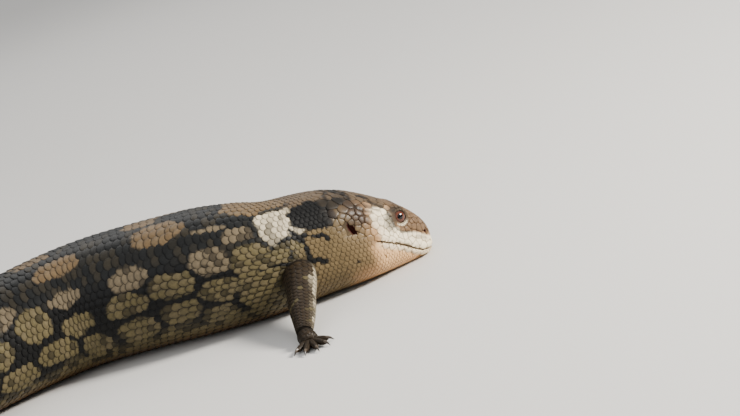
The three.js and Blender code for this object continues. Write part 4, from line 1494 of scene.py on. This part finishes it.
def eye_finish_group():
    """Dark pupil, red-brown iris with a fine pale ring, and a dark rim."""
    group, enter, leave = node_group(
        "Eye finish",
        (("Vector", "NodeSocketVector", None), ("Ring", "NodeSocketFloat", 0.0),
         ("Iris", "NodeSocketColor", (0.125, 0.033, 0.013, 1)), ("Roughness", "NodeSocketFloat", 0.12)),
        (("Base Color", "NodeSocketColor"), ("Roughness", "NodeSocketFloat")),
    )
    place = enter.outputs["Vector"]
    noise = add_node(group, "ShaderNodeTexNoise", None, Vector=place, Scale=1500.0, Detail=3.0)
    ring = maths(group, "MULTIPLY_ADD", noise.outputs[0], 0.06)
    group.links.new(enter.outputs["Ring"], ring.node.inputs[2])
    ramp = add_node(group, "ShaderNodeValToRGB", None, Fac=ring)
    stops = ((0.0, 0.0), (0.42, 0.0), (0.47, 0.9), (0.55, 0.7), (0.78, 0.5), (0.9, 0.1), (1.0, 0.03))
    elements = ramp.color_ramp.elements
    for at, value in stops[1:-1]:
        elements.new(at)
    for element, (at, value) in zip(elements, stops):
        element.position = at
        element.color = (value, value, value, 1)
    tone = add_node(group, "ShaderNodeVectorMath", {"operation": "MULTIPLY"},
                    i0=enter.outputs["Iris"], i1=ramp.outputs[0])
    group.links.new(tone.outputs[0], leave.inputs["Base Color"])
    group.links.new(enter.outputs["Roughness"], leave.inputs["Roughness"])
    return group


def claw_finish_group():
    """Horn, paler towards its root."""
    group, enter, leave = node_group(
        "Claw finish",
        (("Vector", "NodeSocketVector", None), ("Share", "NodeSocketFloat", 0.0),
         ("Roughness", "NodeSocketFloat", 0.35)),
        (("Base Color", "NodeSocketColor"), ("Roughness", "NodeSocketFloat")),
    )
    place = enter.outputs["Vector"]
    noise = add_node(group, "ShaderNodeTexNoise", None, Vector=place, Scale=900.0, Detail=3.0)
    share = maths(group, "MULTIPLY_ADD", noise.outputs[0], 0.2)
    group.links.new(enter.outputs["Share"], share.node.inputs[2])
    ramp = add_node(group, "ShaderNodeValToRGB", None, Fac=share)
    ramp.color_ramp.elements[0].color = (0.10, 0.07, 0.045, 1)
    ramp.color_ramp.elements[1].color = (0.012, 0.010, 0.009, 1)
    group.links.new(ramp.outputs[0], leave.inputs["Base Color"])
    group.links.new(enter.outputs["Roughness"], leave.inputs["Roughness"])
    return group


def shared_group(maker):
    """A finish group, made the first time it is asked for."""
    if maker.__name__ not in made_once:
        made_once[maker.__name__] = maker()
    return made_once[maker.__name__]


def hide_material(name, roughness, gloss, bump, edge=0.5):
    """Scale finish on a piece of the hide."""
    attributes = (("Tint", "tint"), ("Rim", "rim"))
    return surface_material(name, shared_group(scale_finish_group), attributes, bump, roughness, edge,
                            Coat_Weight=gloss, Coat_Roughness=0.22, Specular_IOR_Level=0.14)


# What the sidebar shows
def tone(label, red, green, blue):
    """A colour of the sidebar, given in display values out of 255."""
    return bpy.props.FloatVectorProperty(
        name=label, description=f"{label} of the animal's skin and scales", subtype="COLOR", size=3,
        min=0, max=1, default=linear(red, green, blue),
    )


class SkinkColours(bpy.types.PropertyGroup):
    """Colours of the hide"""
    slate: tone("Dark ground of the back", 20, 21, 21)
    black: tone("Black between the side blotches", 9, 9, 9)
    tan: tone("Blotches along the back", 96, 78, 54)
    rose: tone("Blotches high on the flank", 96, 85, 67)
    khaki: tone("Blotches on the flank", 86, 77, 52)
    cream: tone("Lips and face", 226, 212, 182)
    # Shoulder patch: partly a pale blotch, partly a painted highlight of the glint on the shoulder.
    shoulder: tone("Shoulder patch", 186, 174, 148)
    belly: tone("Belly", 86, 62, 32)
    cheek: tone("Cheeks", 166, 128, 90)
    olive: tone("Cheek behind the mouth", 90, 78, 54)
    temple: tone("Temples above the ear", 56, 42, 30)
    crown: tone("Crown shields", 84, 70, 54)
    snout: tone("Snout", 101, 79, 57)
    chin: tone("Chin", 204, 162, 114)
    throat: tone("Throat", 164, 124, 74)
    limb: tone("Legs", 41, 32, 21)
    # Ear and nostril: partly their inner colour, partly painted shade inside the openings.
    hollow: tone("Ear and nostril", 48, 14, 8)


class SkinkCoat(bpy.types.PropertyGroup):
    """Size and number of the scales"""
    rows: bpy.props.IntProperty(
        name="Scale rows", description="Rows of scales around the middle of the body",
        default=44, min=30, max=60)
    ratio: bpy.props.FloatProperty(
        name="Scale length", description="Visible length of a scale as a share of its row's width",
        default=0.9, min=0.4, max=1.4)
    depth: bpy.props.FloatProperty(
        name="Scale depth", description="How far a scale's front edge is sunk", default=0.00085, min=0.0002,
        max=0.002, subtype="DISTANCE", unit="LENGTH")


# Start, end, share of the middle's rows, and how much finer the rows are on the flanks
BODY_ZONES = (
    (12, 46, 1.6, 0), (46, 62, 1.6, 0.3), (62, 76, 1.45, 0.6), (76, 92, 1.3, 0.8), (92, 108, 1.15, 1),
    (108, 262, 1.05, 1), (262, 300, 0.77, 0.6), (300, 345, 0.6, 0.3), (345, 385, 0.45, 0),
    (385, TAIL_END - 2, 0.32, 0),
)


PIECE_TRIANGLES = 190000


def build_coat(name, coat, material):
    """Builds gathered plates as pieces of fewer than 200,000 triangles."""
    columns = [np.concatenate(c) for c in zip(*coat.parts)]
    total = len(columns[0])
    count = math.ceil(total / (PIECE_TRIANGLES // len(coat.triangles)))
    for i, chosen in enumerate(np.array_split(np.arange(total), count)):
        coat.parts = [tuple(c[chosen] for c in columns)]
        obj = coat.build(name if count == 1 else f"{name}_{i + 1}")
        finish_piece(obj, material)


class SKINK_OT_skin(bpy.types.Operator):
    """Builds the one skin that covers head, body, legs and tail"""
    bl_idname = "skink.skin"
    bl_label = "Skin"

    def execute(self, context):
        skin = make_skin()
        dress_skin(skin)
        finish_piece(skin, hide_material("Skin", 0.55, 0.0, 0.5))
        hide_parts(*FLESH)
        return {"FINISHED"}


class SKINK_OT_scales(bpy.types.Operator):
    """Lays overlapping scales over the body and tail"""
    bl_idname = "skink.scales"
    bl_label = "Body scales"

    def execute(self, context):
        settings = context.scene.skink_coat
        rng = np.random.default_rng(SEED)
        coat = Coat(plate_pattern(16, (0.07, 0.13, 0.4)))
        for start, end, share, spread in BODY_ZONES:
            rows = round(settings.rows * share / 2) * 2
            roots = lattice(BODY, start, end, rows, settings.ratio, spread)
            place, _ = BODY.at(roots[0], roots[1])
            keep = ~inside_limbs(place, LIMBS, 1.2)
            if start < HEAD_END - 4:
                keep &= on_throat(roots[0], fold(roots[1]), place[:, 2])
            roots = [c[keep] for c in roots]
            u, f, place = roots[0], roots[1], place[keep]
            whim = np.clip(rng.standard_normal(len(u)) * 0.45, -1, 1)
            shade = np.where(inside_limbs(place, LIMBS, -1.6), 0.45, 1)[:, None, None]
            depth = settings.depth / MM * (1 - 0.5 * smoothstep(u, 300, TAIL_END))[:, None]
            depth = depth * (0.45 + 0.55 * smoothstep(u, 40, 80))[:, None]
            narrow = open_flank(u, fold(f)) * rng.random(len(u))
            rim_dark = 0.12 + 0.18 * smoothstep(u, 50, 80)
            rim_dark = rim_dark + 0.6 * open_flank(u, fold(f)) * (0.5 + 0.5 * rng.random(len(u)))
            overlap_plates(coat, BODY, roots, lambda *at: skin_marks(*at) * shade, whim, body_uv(u, f),
                           depth, rng, narrow, rim_dark, 0.6)
        build_coat("body_scales", coat, hide_material("Body scales", 0.38, 0.07, 0.35))
        return {"FINISHED"}


# Scales of the limbs: rows around, visible length as a share of the row's width, and depth
LIMB_ROWS = {"limb": (16, 0.95, 0.5), "palm": (14, 0.85, 0.4), "toe": (8, 0.9, 0.22)}


class SKINK_OT_limb_scales(bpy.types.Operator):
    """Lays small scales over the legs, feet and toes"""
    bl_idname = "skink.limb_scales"
    bl_label = "Leg scales"

    def execute(self, context):
        rng = np.random.default_rng(SEED + 1)
        coat = Coat(plate_pattern(12, (0.08, 0.4)))
        for hide, owner, part, number in all_hides():
            if part == "body":
                continue
            rows, ratio, depth = LIMB_ROWS[part]
            margin = 0.4 if part != "limb" else 0
            roots = lattice(hide, margin, hide.along[-1] - margin, rows, ratio)
            place, _ = hide.at(roots[0], roots[1])
            keep = ~inside_body(place, 0.9)
            if part != "limb":
                keep &= ~inside_limbs(place, [owner], 0.8)
            roots = [c[keep] for c in roots]
            u, f, place = roots[0], roots[1], place[keep]
            whim = np.clip(rng.standard_normal(len(u)) * 0.45, -1, 1)
            root = uv_at(owner, part, number, u, f, hide)
            overlap_plates(coat, hide, roots, lambda *at: marks_at(owner, part, *at), whim, root, depth, rng)
        build_coat("leg_scales", coat, hide_material("Leg scales", 0.4, 0.08, 0.35))
        return {"FINISHED"}


class SKINK_OT_shields(bpy.types.Operator):
    """Lays the head's shields, lips and small scales edge to edge"""
    bl_idname = "skink.shields"
    bl_label = "Head shields"

    def execute(self, context):
        rng = np.random.default_rng(SEED + 2)
        coat = Coat(plate_pattern(18, (0.06, 0.12, 0.4)))
        shield_plates(coat, rng)
        beads = Coat(plate_pattern(10, (0.3, 0.3)))
        for sign in (1, -1):
            lid_beads(beads, sign, rng)
        build_coat("lid_beads", beads, hide_material("Lids", 0.4, 0.2, 0.2, 0.75))
        build_coat("head_shields", coat, hide_material("Head shields", 0.4, 0.08, 0.3, 0.72))
        return {"FINISHED"}


class SKINK_OT_eyes(bpy.types.Operator):
    """Sets an eye behind each pair of lids"""
    bl_idname = "skink.eyes"
    bl_label = "Eyes"

    def execute(self, context):
        material = surface_material("Eye", eye_finish_group(), (("Ring", "ring"),), 0, 0.1,
                                    Coat_Weight=0.45, Coat_Roughness=0.02, Specular_IOR_Level=0.3)
        radius = EYE_RADIUS - EYE_GAP
        for name, sign in (("right", 1), ("left", -1)):
            obj = ball(f"eye_ball_{name}", head_point(EYE, sign), eye_frame(sign), (radius,) * 3, 48, 32)
            co = np.array([v.co[:] for v in obj.data.vertices]) / MM
            d = unit(co - head_point(EYE, sign))
            off = np.degrees(np.arccos(np.clip(d @ eye_frame(sign)[:, 2], -1, 1)))
            paint(obj.data, "ring", np.clip(off / IRIS_DEGREES, 0, 1))
            finish_piece(obj, material)
            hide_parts(f"eye_{name}")
        return {"FINISHED"}


class SKINK_OT_claws(bpy.types.Operator):
    """Puts a curved claw at the end of each toe"""
    bl_idname = "skink.claws"
    bl_label = "Claws"

    def execute(self, context):
        material = surface_material("Claw", claw_finish_group(), (("Share", "share"),), 0, 0.3,
                                    Coat_Weight=0.3)
        points, faces, shares = [], [], []
        rings, sides = 12, 12
        for name in LIMBS:
            for part, _, root, tip in FOOT_RODS[name]:
                if part != "claw":
                    continue
                share = np.linspace(0, 1, rings)
                centre = root + (tip - root) * share[:, None]
                centre[:, 2] += CLAW["arch"] * np.sin(share * np.pi) * (1 - 0.3 * share)
                radius = CLAW["thick"] * (1 - share) ** 0.75 + CLAW["tip"]
                way = unit(tip - root)
                side = unit(np.cross([0, 0, 1], way))
                up = np.cross(way, side)
                angle = np.arange(sides) / sides * 2 * np.pi
                ring = side * np.sin(angle)[:, None] * 0.8 + up * np.cos(angle)[:, None]
                p = centre[:, None] + ring[None] * radius[:, None, None] + OFFSET
                p[..., 2] = np.maximum(p[..., 2], 0)
                base = len(points) * rings * sides
                points.append(p.reshape(-1, 3))
                shares.append(np.repeat(share, sides))
                faces += list(ring_quads(rings, sides) + base)
                faces.append([base + j for j in range(sides)][::-1])
                faces.append([base + (rings - 1) * sides + j for j in range(sides)])
        obj = mesh_object("claws", np.concatenate(points), faces)
        turn_outward(obj)
        paint(obj.data, "share", np.concatenate(shares))
        finish_piece(obj, material)
        return {"FINISHED"}


# Light: name, place from the animal in metres, size, power and colour
LAMPS = (
    ("key", (1.0, -0.3, 0.62), 0.3, 42.0, (1.0, 0.95, 0.87)),
    ("fill", (-0.7, -1.0, 0.9), 1.2, 4.0, (0.96, 0.98, 1.0)),
    ("back", (-0.1, 1.1, 0.9), 0.9, 5.0, (1.0, 0.98, 0.95)),
)
CEILING = {"turn": (0.2, -0.25, 0), "power": 1.4, "spread": 2.2}
ROOM = {"colour": (0.97, 0.98, 1.0, 1), "strength": 0.3}
FLOOR = {"radius": 9, "colour": (0.62, 0.61, 0.59, 1), "roughness": 0.9}


class SKINK_OT_stage(bpy.types.Operator):
    """Lays the pale floor and sets the light and the photograph's camera"""
    bl_idname = "skink.stage"
    bl_label = "Stage"

    def execute(self, context):
        bpy.ops.object.select_all(action="DESELECT")
        bpy.ops.mesh.primitive_circle_add(vertices=96, radius=FLOOR["radius"], fill_type="NGON")
        floor = context.object
        floor.name = "floor"
        paper = bpy.data.materials.new("Paper")
        paper.use_nodes = True
        shader = paper.node_tree.nodes["Principled BSDF"]
        shader.inputs["Base Color"].default_value = FLOOR["colour"]
        shader.inputs["Roughness"].default_value = FLOOR["roughness"]
        floor.data.materials.append(paper)
        target = Vector((VIEW["target"] + OFFSET) * MM)
        for name, offset, size, power, colour in LAMPS:
            bpy.ops.object.light_add(type="AREA", location=target + Vector(offset))
            lamp = context.object
            lamp.name = name
            lamp.data.size, lamp.data.energy, lamp.data.color = size, power, colour
            lamp.rotation_euler = Vector(offset).to_track_quat("Z", "Y").to_euler()
        bpy.ops.object.light_add(type="SUN", rotation=CEILING["turn"])
        sky = context.object
        sky.name = "soft_ceiling"
        sky.data.energy, sky.data.angle = CEILING["power"], CEILING["spread"]
        world = bpy.data.worlds.new("room")
        world.use_nodes = True
        glow = world.node_tree.nodes["Background"]
        glow.inputs["Color"].default_value = ROOM["colour"]
        glow.inputs["Strength"].default_value = ROOM["strength"]
        context.scene.world = world
        tilt, roll = math.radians(VIEW["elevation"]), math.radians(VIEW["roll"])
        back = Vector((0, -math.cos(tilt), math.sin(tilt)))
        level, rise = Vector((1, 0, 0)), Vector((0, math.sin(tilt), math.cos(tilt)))
        right = level * math.cos(roll) - rise * math.sin(roll)
        up = level * math.sin(roll) + rise * math.cos(roll)
        bpy.ops.object.camera_add()
        camera = context.object
        matrix = Matrix.Identity(4)
        for column, axis in enumerate((right, up, back)):
            for row in range(3):
                matrix[row][column] = axis[row]
        matrix.translation = target + back * VIEW["distance"] * MM
        camera.matrix_world = matrix
        camera.data.sensor_width = SENSOR_MM
        camera.data.lens = VIEW["distance"] / VIEW["mm_per_px"] / PHOTO_WIDTH_PX * SENSOR_MM
        camera.data.clip_start, camera.data.clip_end = 0.05, 40
        context.scene.camera = camera
        return {"FINISHED"}


OPERATORS = (
    SKINK_OT_skin, SKINK_OT_scales, SKINK_OT_limb_scales, SKINK_OT_shields, SKINK_OT_eyes, SKINK_OT_claws,
    SKINK_OT_stage,
)


class SKINK_PT_panel(bpy.types.Panel):
    """Builds the skink piece by piece"""
    bl_label = "Skink"
    bl_idname = "SKINK_PT_panel"
    bl_space_type = "VIEW_3D"
    bl_region_type = "UI"
    bl_category = "Skink"

    def draw(self, context):
        column = self.layout.column()
        for operator in OPERATORS:
            column.operator(operator.bl_idname)
        for group in (context.scene.skink_coat, context.scene.skink_colours):
            box = self.layout.box()
            for key in group.__annotations__:
                box.prop(group, key)


CLASSES = (SkinkColours, SkinkCoat, *OPERATORS, SKINK_PT_panel)


def register():
    """Registers the classes and hangs the settings on the scene."""
    for cls in CLASSES:
        bpy.utils.register_class(cls)
    bpy.types.Scene.skink_colours = bpy.props.PointerProperty(type=SkinkColours)
    bpy.types.Scene.skink_coat = bpy.props.PointerProperty(type=SkinkCoat)


def unregister():
    """Takes the settings and classes away again."""
    del bpy.types.Scene.skink_colours
    del bpy.types.Scene.skink_coat
    for cls in reversed(CLASSES):
        bpy.utils.unregister_class(cls)


def main():
    register()
    bpy.ops.skink.skin()
    bpy.ops.skink.scales()
    bpy.ops.skink.limb_scales()
    bpy.ops.skink.shields()
    bpy.ops.skink.eyes()
    bpy.ops.skink.claws()
    bpy.ops.skink.stage()


if __name__ == "__main__":
    main()
